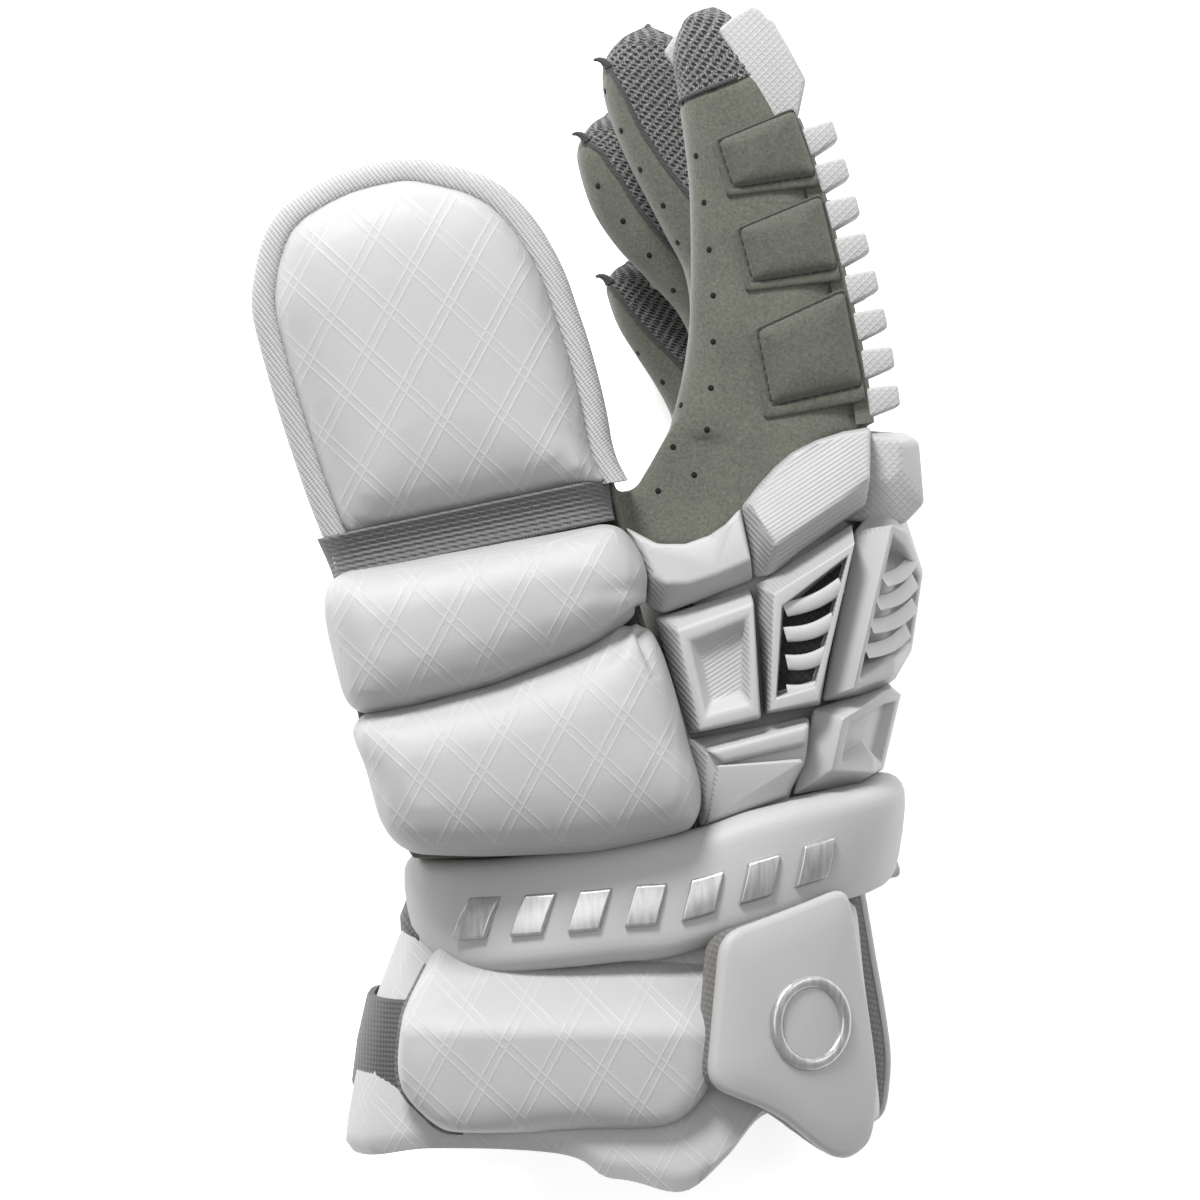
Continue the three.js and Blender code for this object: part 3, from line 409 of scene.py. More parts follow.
knit = knit_finish()
binding_tape = woven_finish("binding_tape", 0.4, 1.1, 52, 0.00022)
flex_tape = woven_finish("flex_tape", 0.125, 1.15, 12, 0.0003)
strap_web = woven_finish("strap_web", 0.06, 1.3, 0, 0.0003)
piping_tape = woven_finish("piping_tape", 0.05, 0.9, 30)
lining_knit = woven_finish("lining_knit", 0.13, 1.6, 20, 0.0002, warm=0.06)
liner_mesh = woven_finish("liner_mesh", 0.03, 1.8, 45, 0.0004)
dark_thread = woven_finish("dark_thread", 0.03, 0.5, 30, 0.00005)
grey_thread = woven_finish("grey_thread", 0.22, 0.5, 30, 0.00005)
print("finishes:", knit.name, binding_tape.name, flex_tape.name, lining_knit.name)

# %% [markdown]
# The bars on the band and the ring on the cuff are moulded plastic with a satin silver coat. The
# brushed look is a stretched noise in the roughness, which keeps the reflections soft.

# %% Silver


def silver_finish():
    tree = Tree("satin_silver")
    brushed = tree.noise(tree.turned(scale=(1000, 120, 1000)), 0.9, 3.0)
    tree.colour(tree.ramp(brushed, [(0.3, grey(0.4)), (0.7, grey(0.55))]))
    tree.shader.inputs["Metallic"].default_value = 0.75
    tree.rough(tree.math("MULTIPLY_ADD", brushed, 0.25, 0.24))
    tree.bump(brushed, 0.00003)
    return tree.material


silver = silver_finish()
# Painted shade: a near-black for the inside of each punched hole in the suede.
hole_black = Tree("hole_black")
hole_black.shader.inputs["Base Color"].default_value = (0.006, 0.006, 0.006, 1)
hole_black.rough(1.0)
print("finish:", silver.name)

# %% [markdown]
# Most of the glove is tubes: the hand, the forearm, the thumb and each finger have rounded
# sections that change along their length. A table gives the sections at a few stations, and a
# spline through them gives as many as are wanted. A ring of a tube is a superellipse, squarer than
# an ellipse, with its points evenly spaced so that a woven pattern isn't stretched.

# %% Helpers for tubes


def spline(stations, per_span):
    """Rows through the given rows: a Catmull-Rom curve with equal steps in each span."""
    rows = np.asarray(stations, float)
    slopes = np.gradient(rows, axis=0)
    made = []
    for k in range(len(rows) - 1):
        t = np.linspace(0, 1, per_span, endpoint=False)[:, None]
        a, b = rows[k], rows[k + 1]
        blend = t * t * (3 - 2 * t)
        made.append(a + (b - a) * blend + slopes[k] * (t * (1 - t) ** 2) - slopes[k + 1] * (t * t * (1 - t)))
    made.append(rows[-1:])
    return np.concatenate(made)


def tube_rows(table, low, high, y0, length, x0, depth):
    """Rows of y, left, right, low, high from a table of shares."""
    rows = []
    for row in table:
        along, left, right = row[:3]
        extra = row[3:] or (low, high)
        rows.append((y0 + along * length, x0 + left * depth, x0 + right * depth, *extra))
    return np.array(rows)


RING_STEPS = 1440
SWEEP = np.linspace(0, 2 * math.pi, RING_STEPS + 1)
UNIT_X = np.sign(np.cos(SWEEP)) * np.abs(np.cos(SWEEP)) ** (2 / SECTION_POWER)
UNIT_Z = np.sign(np.sin(SWEEP)) * np.abs(np.sin(SWEEP)) ** (2 / SECTION_POWER)


def full_ring(row, grow=0.0):
    """The whole section as a fine closed line, from the back of the hand by the thumb side."""
    y, left, right, low, high = row
    half_x = max((right - left) / 2 + grow, 0.2)
    half_z = max((high - low) / 2 + grow, 0.2)
    x = (left + right) / 2 + half_x * UNIT_X
    z = (low + high) / 2 + half_z * UNIT_Z
    return np.stack([x, np.full_like(x, y), z], axis=1)


def distances(line):
    """How far along a line each of its points lies."""
    return np.concatenate([[0], np.cumsum(np.linalg.norm(np.diff(line, axis=0), axis=1))])


def evenly(line, count, closed=False):
    """Points at equal steps along a line."""
    reached = distances(line)
    at = np.linspace(0, reached[-1], count + 1 if closed else count)
    if closed:
        at = at[:-1]
    return np.stack([np.interp(at, reached, line[:, k]) for k in range(line.shape[1])], axis=1)


def rings_of(rows, count, grow=0.0):
    return np.array([evenly(full_ring(row, grow), count, closed=True) for row in rows])


def grid_faces(rows, columns, closed):
    """Quads of a grid of points, joined round when closed."""
    faces = []
    width = columns if closed else columns - 1
    for r in range(rows - 1):
        near, far = r * columns, (r + 1) * columns
        for c in range(width):
            d = (c + 1) % columns
            faces.append((near + c, near + d, far + d, far + c))
    return faces


def tube_solid(rings):
    """A closed body from rings, with a flat cap on each end."""
    count = rings.shape[1]
    points = list(rings.reshape(-1, 3))
    faces = grid_faces(len(rings), count, True)
    last = (len(rings) - 1) * count
    faces.append(tuple(range(count - 1, -1, -1)))
    faces.append(tuple(range(last, last + count)))
    return points, faces


def hoop_faces(rings, count):
    """Quads of a hoop: its last ring meets its first."""
    rounds = [(r * count, (r + 1) % rings * count) for r in range(rings)]
    return [(a + c, a + (c + 1) % count, b + (c + 1) % count, b + c) for a, b in rounds for c in range(count)]


def shell(outer, inner, closed=False):
    """A closed skin between two grids of points of one size."""
    rows, columns = outer.shape[:2]
    half = rows * columns
    faces = grid_faces(rows, columns, closed)
    faces += [tuple(half + v for v in reversed(face)) for face in grid_faces(rows, columns, closed)]
    width = columns if closed else columns - 1
    for c in range(width):
        d = (c + 1) % columns
        top = (rows - 1) * columns
        faces.append((d, c, half + c, half + d))
        faces.append((top + c, top + d, half + top + d, half + top + c))
    if not closed:
        for r in range(rows - 1):
            a, b = r * columns, (r + 1) * columns
            faces.append((a, b, half + b, half + a))
            a, b = a + columns - 1, b + columns - 1
            faces.append((b, a, half + a, half + b))
    return np.concatenate([outer.reshape(-1, 3), inner.reshape(-1, 3)]), faces


# %% [markdown]
# A piece is made from points in pattern millimetres, and ends as a plain mesh at the origin with
# its faces outward. These helpers also run modifiers: each is added, read back as a mesh and
# dropped, so no live modifier is left.

# %% Helpers for pieces


def smooth_faces(piece):
    piece.data.polygons.foreach_set("use_smooth", [True] * len(piece.data.polygons))
    return piece


def make(name, points, faces, material=None):
    mesh = bpy.data.meshes.new(name)
    mesh.from_pydata([Vector(p) for p in to_frame(points)], [], faces)
    work = bmesh.new()
    work.from_mesh(mesh)
    bmesh.ops.recalc_face_normals(work, faces=work.faces)
    work.to_mesh(mesh)
    work.free()
    if material:
        mesh.materials.append(material)
    return smooth_faces(in_scene(name, mesh))


def freeze(piece):
    """Turn the piece and its modifiers into a plain mesh."""
    graph = bpy.context.evaluated_depsgraph_get()
    mesh = bpy.data.meshes.new_from_object(piece.evaluated_get(graph))
    old = piece.data
    piece.modifiers.clear()
    piece.data = mesh
    mesh.name = old.name
    if old.users == 0:
        bpy.data.meshes.remove(old)
    return piece


def modify(piece, kind, **settings):
    modifier = piece.modifiers.new(kind.lower(), kind)
    for key, value in settings.items():
        setattr(modifier, key, value)
    return freeze(piece)


def soften(piece, width, angle, segments=3):
    """Round off the edges that turn by more than an angle."""
    modify(piece, "BEVEL", width=width * MM, segments=segments, limit_method="ANGLE",
           angle_limit=math.radians(angle))


def drop(*pieces):
    for piece in pieces:
        bpy.data.objects.remove(piece, do_unlink=True)


def combine(piece, other, operation):
    """Join a solid to another or cut it with it. The other one is used up."""
    modify(piece, "BOOLEAN", object=other, operation=operation, solver="MANIFOLD")
    drop(other)
    return piece


def prism(outline, low, high, name="cutter"):
    """An XY outline in pattern millimetres, made a solid between two heights."""
    outline = np.asarray(outline, float)
    n = len(outline)
    points = [(x, y, z) for z in (low, high) for x, y in outline]
    faces = [tuple(range(n)), tuple(range(2 * n - 1, n - 1, -1))]
    faces += [(k, k + n, (k + 1) % n + n, (k + 1) % n) for k in range(n)]
    return make(name, points, faces)


def rename(piece, name, material=None):
    piece.name = name
    piece.data.name = name
    if material:
        piece.data.materials.clear()
        piece.data.materials.append(material)
    return piece


def shade(piece, angle=35):
    """Smooth shading, with a sharp edge where two faces turn by more than an angle."""
    smooth_faces(piece).data.set_sharp_from_angle(angle=math.radians(angle))
    return piece


def wear(piece, slot, *nodes):
    """The glove has one body: the piece is attached to it, and the imported solids it stands for are hidden.
    The slot is not used.
    """
    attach(piece, "root")
    if nodes:
        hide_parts(*nodes)
    print(piece.name, "faces:", len(piece.data.polygons))
    return piece


def mirrored(points, faces, mid):
    """The same piece across the hand's middle, turned so that its faces still point out."""
    turned = np.array(points, float)
    turned[:, 2] = 2 * mid - turned[:, 2]
    return turned, [tuple(reversed(face)) for face in faces]


# %% [markdown]
# The tables below are the glove's pattern: shares of the hand's depth and length for the hand and
# the forearm, of the thumb's width and length for the thumb, and of each finger's length for the
# fingers. They are the ones the solids were made from, so the visible skin lies on the solids.

# %% Sections of hand, forearm, thumb and fingers
HAND_TABLE = [
    (0, -1.045, 0.88), (0.22, -0.72, 0.936), (0.46, -0.245, 0.99), (0.7, -0.12, 1.035), (1, 0, 1),
]
CUFF_TABLE = [
    (1, -1.555, 1.027, -0.02, 1.163), (0.57, -1.41, 0.955, -0.01, 1.09), (0.27, -1.245, 0.9, 0, 1.02),
]
THUMB_TABLE = [
    (0, -0.02, 0.875, 1), (0.11, -0.125, 0.875, 1), (0.235, -0.205, 0.795, 1),
    (0.35, -0.25, 0.7, 1), (0.423, -0.26, 0.68, 1), (0.522, -0.34, 0.62, 1),
    (0.632, -0.42, 0.585, 1), (0.726, -0.48, 0.535, 1), (0.789, -0.51, 0.49, 1),
    (0.841, -0.5, 0.45, 0.98), (0.893, -0.47, 0.39, 0.93), (0.933, -0.41, 0.325, 0.83),
    (0.967, -0.295, 0.24, 0.65), (0.987, -0.19, 0.13, 0.42), (1, -0.06, 0, 0.15),
]
FINGER_TABLES = {
    "index": [
        (0, 0, 1, 1), (0.165, 0.08, 0.95, 1), (0.32, 0.1, 0.88, 1), (0.47, 0.1, 0.8, 1),
        (0.59, 0.09, 0.73, 1), (0.71, 0.06, 0.645, 1), (0.8, 0.035, 0.54, 0.98),
        (0.88, 0.01, 0.435, 0.93), (0.945, 0.045, 0.355, 0.8), (0.98, 0.09, 0.3, 0.58),
        (1, 0.19, 0.23, 0.15),
    ],
    "middle": [
        (0, 0.02, 1, 1), (0.25, 0.1, 0.88, 1), (0.38, 0.08, 0.82, 1), (0.48, -0.02, 0.73, 1),
        (0.56, -0.105, 0.63, 1), (0.66, -0.21, 0.48, 1), (0.765, -0.3, 0.345, 0.98),
        (0.845, -0.34, 0.245, 0.93), (0.915, -0.33, 0.145, 0.8), (0.97, -0.245, 0.035, 0.58),
        (1, -0.13, -0.09, 0.15),
    ],
    "ring": [
        (0, 0.02, 1, 1), (0.225, 0.12, 0.9, 1), (0.36, 0.06, 0.8, 1), (0.48, -0.11, 0.645, 1),
        (0.58, -0.265, 0.49, 1), (0.695, -0.39, 0.33, 1), (0.82, -0.46, 0.135, 0.97),
        (0.895, -0.47, 0.01, 0.9), (0.965, -0.41, -0.145, 0.68), (1, -0.33, -0.29, 0.15),
    ],
    "pinky": [
        (0, 0.03, 1, 1), (0.12, 0.01, 0.94, 1), (0.29, -0.07, 0.81, 1), (0.455, -0.165, 0.635, 1),
        (0.62, -0.255, 0.435, 0.98), (0.785, -0.31, 0.235, 0.93), (0.885, -0.32, 0.09, 0.82),
        (0.96, -0.28, -0.065, 0.6), (1, -0.225, -0.185, 0.15),
    ],
}
cuff_rows = [(WRIST_Y - a * CUFF_LENGTH, PALM_X + l * KNUCKLE_DEPTH, PALM_X + r * KNUCKLE_DEPTH,
              HAND_LOW + lo * HAND_WIDTH, HAND_LOW + hi * HAND_WIDTH) for a, l, r, lo, hi in CUFF_TABLE]
hand_stations = tube_rows(HAND_TABLE, HAND_LOW, HAND_HIGH, WRIST_Y, HAND_LENGTH, PALM_X, KNUCKLE_DEPTH)
arm_stations = np.array(cuff_rows + [tuple(row) for row in hand_stations])
arm_rows = spline(arm_stations, 12)
hand_rows = spline(hand_stations, 14)
thumb_rows = spline([
    (THUMB_BASE_Y + a * THUMB_LENGTH, THUMB_X + l * THUMB_WIDTH, THUMB_X + r * THUMB_WIDTH,
     RIM_Z - d * THUMB_DEEP, RIM_Z + d * THUMB_DEEP) for a, l, r, d in THUMB_TABLE
], 6)


def finger_mid(name):
    return HAND_MID + FINGER_PLACE[name] * FINGER_PITCH


def finger_rows(name):
    mid = finger_mid(name)
    return spline([
        (KNUCKLE_Y + GAP + a * FINGER_LENGTH[name], PALM_X + p * KNUCKLE_DEPTH, PALM_X + b * KNUCKLE_DEPTH,
         mid - w * FINGER_WIDTH / 2, mid + w * FINGER_WIDTH / 2) for a, p, b, w in FINGER_TABLES[name]
    ], 10)


fingers = {name: finger_rows(name) for name in FINGER_LENGTH}
print("rows:", len(arm_rows), len(thumb_rows), {name: len(rows) for name, rows in fingers.items()})

# %% [markdown]
# The palm, the bowl of the thumb and the index finger's skin are cut from one kind of suede and
# flow into each other at the crotch. Sewing them in mesh code would leave hard lines, so they are
# made as hollow walls, joined, and remeshed at a fine step, which rounds the joins as a skin does.

# %% Palm, thumb bowl and index skin
PAST = 30.0
REACH = 400.0
REMESH_STEP = 1.35
CAP_LOW = (24.5, 138.6)
CAP_HIGH = (47.5, 147.2)


def on_hand(points):
    return [(PALM_X + a * KNUCKLE_DEPTH, WRIST_Y + b * HAND_LENGTH) for a, b in points]


WEB_CURVE = [
    (-0.3, -0.1), (-0.1, 0.25), (0.1, 0.45), (0.12, 0.72), (0.34, 0.79), (0.58, 0.89), (0.78, 0.94),
    (0.96, 0.96), (0.96, 1.03),
]


def stretched(rows, before, after):
    """Rows run on past the ends, so that cutting bodies pass right through."""
    first, last = rows[0].copy(), rows[-1].copy()
    first[0] -= before
    last[0] += after
    return np.vstack([first, rows, last])


def hand_wall(name):
    body = make(name, *tube_solid(rings_of(stretched(hand_rows, 6, 0.1), 96)))
    hollow = make("hollow", *tube_solid(rings_of(stretched(hand_rows, PAST, PAST), 96, -WALL)))
    return combine(body, hollow, "DIFFERENCE")


def thumb_solid(grow, name):
    rows = thumb_rows.copy()
    if grow < 0:
        rows[:, 0] = THUMB_BASE_Y + WALL + (rows[:, 0] - THUMB_BASE_Y) * (1 - 2 * WALL / THUMB_LENGTH)
    return make(name, *tube_solid(rings_of(rows, 80, grow)))


palm_side = prism(on_hand(WEB_CURVE + [(-4, 1.03), (-4, -0.1)]), -PAST, REACH)
palm = combine(hand_wall("palm_suede"), palm_side, "INTERSECT")
combine(palm, thumb_solid(-WALL, "room"), "DIFFERENCE")
over_rim = prism([(-REACH, -REACH), (REACH, -REACH), (REACH, REACH), (-REACH, REACH)], RIM_Z - GAP, REACH)
bowl = combine(thumb_solid(0, "bowl"), over_rim, "DIFFERENCE")
combine(bowl, thumb_solid(-WALL, "room"), "DIFFERENCE")
hand_room = make("room", *tube_solid(rings_of(stretched(hand_rows, PAST, 0), 96, -WALL)))
combine(bowl, hand_room, "DIFFERENCE")

index_rows = fingers["index"]
index_skin = make("skin", *tube_solid(rings_of(stretched(index_rows, 3, 0), 64)))
hollow_rows = stretched(index_rows, PAST, 0)
along_finger = np.clip((hollow_rows[:, 0] - KNUCKLE_Y) / FINGER_LENGTH["index"], 0, 1)
hollow_rows[:, 0] -= 1.5 * WALL * along_finger ** 2
combine(index_skin, make("hollow", *tube_solid(rings_of(hollow_rows, 64, -WALL))), "DIFFERENCE")
back_edge = [(row[2] - 0.6, row[0]) for row in index_rows if row[0] < CAP_HIGH[1]]
skin_region = [(-REACH, 0), (back_edge[0][0], 0), *back_edge, CAP_HIGH, CAP_LOW, (-REACH, CAP_LOW[1])]
combine(index_skin, prism(skin_region, 0, REACH), "INTERSECT")

WEB_SKIN = [
    (21.5, 51), (17, 43), (13.6, 37), (9.8, 30.6), (3, 29), (-2, 20), (2, 8),
    (14, 14), (26, 14), (38, 30), (36, 52),
]
web_skin = prism(WEB_SKIN, HAND_HIGH - 22.0, HAND_HIGH - 3.5)


def join(*pieces):
    work = bmesh.new()
    for piece in pieces:
        work.from_mesh(piece.data)
    work.to_mesh(pieces[0].data)
    work.free()
    drop(*pieces[1:])
    return pieces[0]


join(palm, bowl, index_skin, web_skin)
modify(palm, "REMESH", mode="VOXEL", voxel_size=REMESH_STEP * MM, adaptivity=0.0, use_smooth_shade=True)
modify(palm, "SMOOTH", factor=0.5, iterations=5)
rename(palm, "palm_suede", suede)
print("palm faces:", len(palm.data.polygons))
wear(palm, "suede", "palm_panel", "thumb_palm", "index_palm")

# %% [markdown]
# The back of the hand is a stretch knit that shows only in the channels between the padding
# blocks, too far down for its threads to be seen, so its finish is a plain grey, darkened as painted
# shade of the channels. Its form is the rest of the same hand wall, cut along the palm's edge.

# %% Back of the hand
palm_side = prism(on_hand(WEB_CURVE + [(-4, 1.1), (-4, -0.1)]), -PAST, REACH)
backing = combine(hand_wall("back_of_hand"), palm_side, "DIFFERENCE")
combine(backing, thumb_solid(0, "room"), "DIFFERENCE")
rename(backing, "back_of_hand", channel_leather)
wear(shade(backing), "knit", "hand_backing")

# %% [markdown]
# The other three fingers have a suede strip on the palm side and a knit gusset on each flank. The
# seam between them starts on the palm side at the tip and climbs the flank towards the hand, so
# each ring of a finger's tube is split where it crosses the seam. The two parts are given a real
# thickness, and the gusset's outer face gets the dents of its knit.

# %% Finger strips and gussets
KNIT_DENT = 0.45
SKIN = 1.3
SEAM_WIDTHS = {
    "middle": [(0, 0.4), (11, 0.8), (13, 2.5), (20, 5.9), (31, 7.6), (41, 10.0), (48, 11.8), (60, 13.0)],
    "ring": [(0, 0.4), (7, 0.8), (8.5, 3.0), (11, 7.0), (19, 11.0), (29, 13.5), (38, 14.5)],
    "pinky": [(0, 0.4), (5.5, 0.8), (7, 1.5), (11, 3.7), (19, 6.9), (27, 9.8), (36, 12.0)],
}
HALF_RING = RING_STEPS // 2
TIP_CLOSE = [(0.75, 0.5), (0.4, 0.8), (0.1, 0.9)]


def seam_x(name, row):
    """Where the seam lies on a flank: how wide the palm side shows at a distance from the tip."""
    width = np.interp(fingers[name][-1][0] - row[0], *zip(*SEAM_WIDTHS[name]))
    return row[1] + min(width, 0.6 * (row[2] - row[1]))


def split_ring(row, at_x, grow, back, counts):
    """The near flank from near the back to the seam, then the palm side from seam to seam."""
    ring = full_ring(row, grow)
    near = ring[:HALF_RING + 1]
    cut = int(np.searchsorted(-near[:, 0], -at_x))
    cut = min(max(cut, 3), HALF_RING - 5)
    back_start = int(np.searchsorted(-near[:, 0], -(row[2] - back)))
    back_start = min(back_start, cut - 2)
    gusset = evenly(near[back_start:cut + 1], counts[0])
    strip = evenly(ring[cut:RING_STEPS + 1 - cut], counts[1])
    return gusset, strip


def knit_depth(u, v):
    x, y = math.pi * u / KNIT_ACROSS, math.pi * v / KNIT_ALONG
    return np.clip(np.abs(np.sin(x + y) * np.sin(x - y)) - 0.35, 0, 1) / 0.65


def lengths(grid):
    """Millimetres across and along each point of a grid."""
    across = np.array([distances(row) for row in grid])
    along = distances(grid[:, grid.shape[1] // 2])
    return across, np.repeat(along[:, None], grid.shape[1], axis=1)


def normals_of(grid):
    du = np.gradient(grid, axis=1)
    dv = np.gradient(grid, axis=0)
    normal = np.cross(du, dv)
    size = np.linalg.norm(normal, axis=2, keepdims=True)
    return normal / np.maximum(size, 1e-9)


def set_uv(piece, uv):
    """A UV for each point, in millimetres."""
    layer = piece.data.uv_layers.new(name="UVMap")
    corner_points = np.empty(len(piece.data.loops), int)
    piece.data.loops.foreach_get("vertex_index", corner_points)
    layer.data.foreach_set("uv", np.asarray(uv, float)[corner_points].ravel())


def knit_sheet(name, outer, inner, closed=False):
    """A knit skin with dents on its outer face, but none on its hems."""
    across, along = lengths(outer)
    out = normals_of(outer)
    if np.sum(out * (outer - inner)) < 0:
        out = -out
    depth = KNIT_DENT * knit_depth(across, along)
    depth[0] = 0
    if not closed:
        depth[-1] = 0
        depth[:, [0, -1]] = 0
    piece = make(name, *shell(outer - out * depth[..., None], inner, closed), knit)
    uv = np.stack([across.ravel(), along.ravel()], axis=1)
    set_uv(piece, np.concatenate([uv, uv]))
    return piece


def fine_rows(rows, step):
    """Rows at equal steps of the finger's middle line."""
    middle = np.stack([rows[:, 0], (rows[:, 1] + rows[:, 2]) / 2], axis=1)
    reached = distances(middle)
    at = np.linspace(0, reached[-1], int(reached[-1] / step) + 1)
    return np.stack([np.interp(at, reached, rows[:, k]) for k in range(5)], axis=1)


def finger_skin(name):
    rows = fine_rows(fingers[name], 0.8)
    parts = {"outer": [], "inner": []}
    for row in rows:
        cut = seam_x(name, row)
        back = 2.0 * min(max((rows[-1][0] - row[0] - 5.0) / 6.0, 0.0), 1.0)
        parts["outer"].append(split_ring(row, cut, 0, back, (46, 44)))
        parts["inner"].append(split_ring(row, cut, -SKIN, back, (46, 44)))
    tip = rows[-1]
    centre = np.array([(tip[1] + tip[2]) / 2, tip[0], (tip[3] + tip[4]) / 2])
    for key, less in (("outer", 0.0), ("inner", SKIN)):
        last = parts[key][-1]
        for share, up in TIP_CLOSE:
            middle = centre + np.array([0, up - less, 0])
            parts[key].append([middle + (part - centre) * share for part in last])
    near_out, near_in, strip_out, strip_in = (np.array([pair[k] for pair in parts[key]])
                                              for k in (0, 1) for key in ("outer", "inner"))
    mid = finger_mid(name)
    near = knit_sheet(name + "_gusset_near", near_out, near_in)
    far_out, far_in = near_out.copy(), near_in.copy()
    for grid in (far_out, far_in):
        grid[..., 2] = 2 * mid - grid[..., 2]
    far = knit_sheet(name + "_gusset_far", far_out, far_in)
    join_uv(near, far)
    rename(near, name + "_knit", knit)
    wear(near, "mesh", name + "_gusset")
    strip = make(name + "_suede", *shell(strip_out, strip_in), suede)
    wear(shade(strip, 50), "suede", name + "_palm")
    return near_out[:, -1]


def join_uv(first, *others):
    """Join pieces one after another and keep their UV maps and finishes."""
    for other in others:
        with bpy.context.temp_override(active_object=first, object=first,
                                       selected_editable_objects=[first, other]):
            bpy.ops.object.join()


seams = {name: finger_skin(name) for name in ("middle", "ring", "pinky")}
print("seam lengths, mm:", {name: round(distances(seam)[-1]) for name, seam in seams.items()})

# %% [markdown]
# The index finger's tip wears a knit cap instead, set in above a slanting hem. It is the tip of
# the same tube. The points below the hem are drawn up to it, so the knit ends in a clean line.

# %% Knit cap of the index finger


def cap_line(x):
    """The hem's height over the flank."""
    share = (x - CAP_LOW[0]) / (CAP_HIGH[0] - CAP_LOW[0])
    return CAP_LOW[1] + share * (CAP_HIGH[1] - CAP_LOW[1])


def index_cap():
    rows = fine_rows(index_rows, 0.8)
    start = int(np.searchsorted(rows[:, 0], CAP_LOW[1] - 4.0))
    outer = np.array([evenly(full_ring(row), 110, closed=True) for row in rows[start:]])
    inner = np.array([evenly(full_ring(row, -SKIN), 110, closed=True) for row in rows[start:]])
    steps = np.arange(len(outer))
    for grid in (outer, inner):
        above = grid[..., 1] - cap_line(grid[..., 0]) + 0.6
        for k in range(grid.shape[1]):
            at = np.interp(0.0, above[:, k], steps)
            hem = [np.interp(at, steps, grid[:, k, c]) for c in range(3)]
            grid[steps < at, k] = hem
    return knit_sheet("index_knit_cap", outer, inner, closed=True)


wear(index_cap(), "mesh", "index_gusset")

# %% [markdown]
# Ribs and stitches repeat along a path. Geometry Nodes suit this: one tree takes a path and one
# small shape, sets points at a pitch, turns each along the path and puts the shape there. The
# shape's own long side is Y and its outside is Z. The tree ends as plain mesh, which is read back,
# so there are real faces and no instances.

# %% A tree that repeats a shape along a path


def new_tree(name, **inputs):
    """A Geometry Nodes tree with named inputs, and its two end nodes."""
    tree = bpy.data.node_groups.new(name, "GeometryNodeTree")
    for label, kind in inputs.items():
        tree.interface.new_socket(label, in_out="INPUT", socket_type="NodeSocket" + kind)
    tree.interface.new_socket("Geometry", in_out="OUTPUT", socket_type="NodeSocketGeometry")
    return tree, tree.nodes.new("NodeGroupInput"), tree.nodes.new("NodeGroupOutput")


def wire(tree, *joins):
    """Join sockets. Each entry is a node, its output, the next node and its input."""
    for source, out, target, into in joins:
        tree.links.new(source.outputs[out], target.inputs[into])


def repeat_tree(name, across):
    """Across True keeps the shape's X along -Z of the glove, as finger ribs need."""
    tree, given, result = new_tree(name, Path="Object", Shape="Object", Count="Int", Start="Float",
                                   Pitch="Float", Finish="Material")
    nodes = tree.nodes
    path, shape = nodes.new("GeometryNodeObjectInfo"), nodes.new("GeometryNodeObjectInfo")
    points, index = nodes.new("GeometryNodePoints"), nodes.new("GeometryNodeInputIndex")
    place = nodes.new("ShaderNodeMath")
    place.operation = "MULTIPLY_ADD"
    sample = nodes.new("GeometryNodeSampleCurve")
    sample.mode = "LENGTH"
    sample.use_all_curves = True
    turn = nodes.new("FunctionNodeAxesToRotation")
    turn.primary_axis = "Y"
    turn.secondary_axis = "X" if across else "Z"
    turn.inputs["Secondary Axis"].default_value = (0, 0, -1) if across else (0, 0, 1)
    moved = nodes.new("GeometryNodeSetPosition")
    copies = nodes.new("GeometryNodeInstanceOnPoints")
    real = nodes.new("GeometryNodeRealizeInstances")
    finish = nodes.new("GeometryNodeSetMaterial")
    wire(
        tree, (given, "Path", path, "Object"), (given, "Shape", shape, "Object"),
        (given, "Count", points, "Count"), (index, 0, place, 0), (given, "Pitch", place, 1),
        (given, "Start", place, 2),
        (path, "Geometry", sample, "Curves"), (place, 0, sample, "Length"), (points, 0, moved, "Geometry"),
        (sample, "Tangent", turn, "Primary Axis"), (sample, "Position", moved, "Position"),
        (moved, 0, copies, "Points"), (shape, "Geometry", copies, "Instance"), (turn, 0, copies, "Rotation"),
        (copies, 0, real, 0), (real, 0, finish, "Geometry"), (given, "Finish", finish, "Material"),
        (finish, 0, result, 0),
    )
    return tree


rib_tree = repeat_tree("ribs_along_a_finger", True)
stitch_tree = repeat_tree("stitches_along_a_seam", False)


def path_object(points):
    """A path in pattern millimetres as a curve that the trees can follow."""
    curve = bpy.data.curves.new("path", "CURVE")
    curve.dimensions = "3D"
    line = curve.splines.new("POLY")
    placed_points = to_frame(points)
    line.points.add(len(placed_points) - 1)
    for point, (x, y, z) in zip(line.points, placed_points):
        point.co = (x, y, z, 1)
    return in_scene("path", curve)


def line_length(points):
    return float(np.linalg.norm(np.diff(np.asarray(points, float), axis=0), axis=1).sum())


def run_tree(name, tree, **given):
    """Run a tree and keep its result as a plain mesh. Each input is set by its socket's identifier."""
    piece = in_scene(name, bpy.data.meshes.new(name))
    modifier = piece.modifiers.new(name, "NODES")
    modifier.node_group = tree
    for item in tree.interface.items_tree:
        if item.in_out == "INPUT":
            modifier[item.identifier] = given[item.name]
    return freeze(piece)


def repeat(name, tree, points, shape, count, start, pitch, finish):
    """A row of one shape along a path. Start and pitch are in millimetres."""
    path = path_object(points)
    piece = run_tree(name, tree, Path=path, Shape=shape, Count=count, Start=start * MM, Pitch=pitch * MM,
                     Finish=finish)
    drop(path)
    return piece


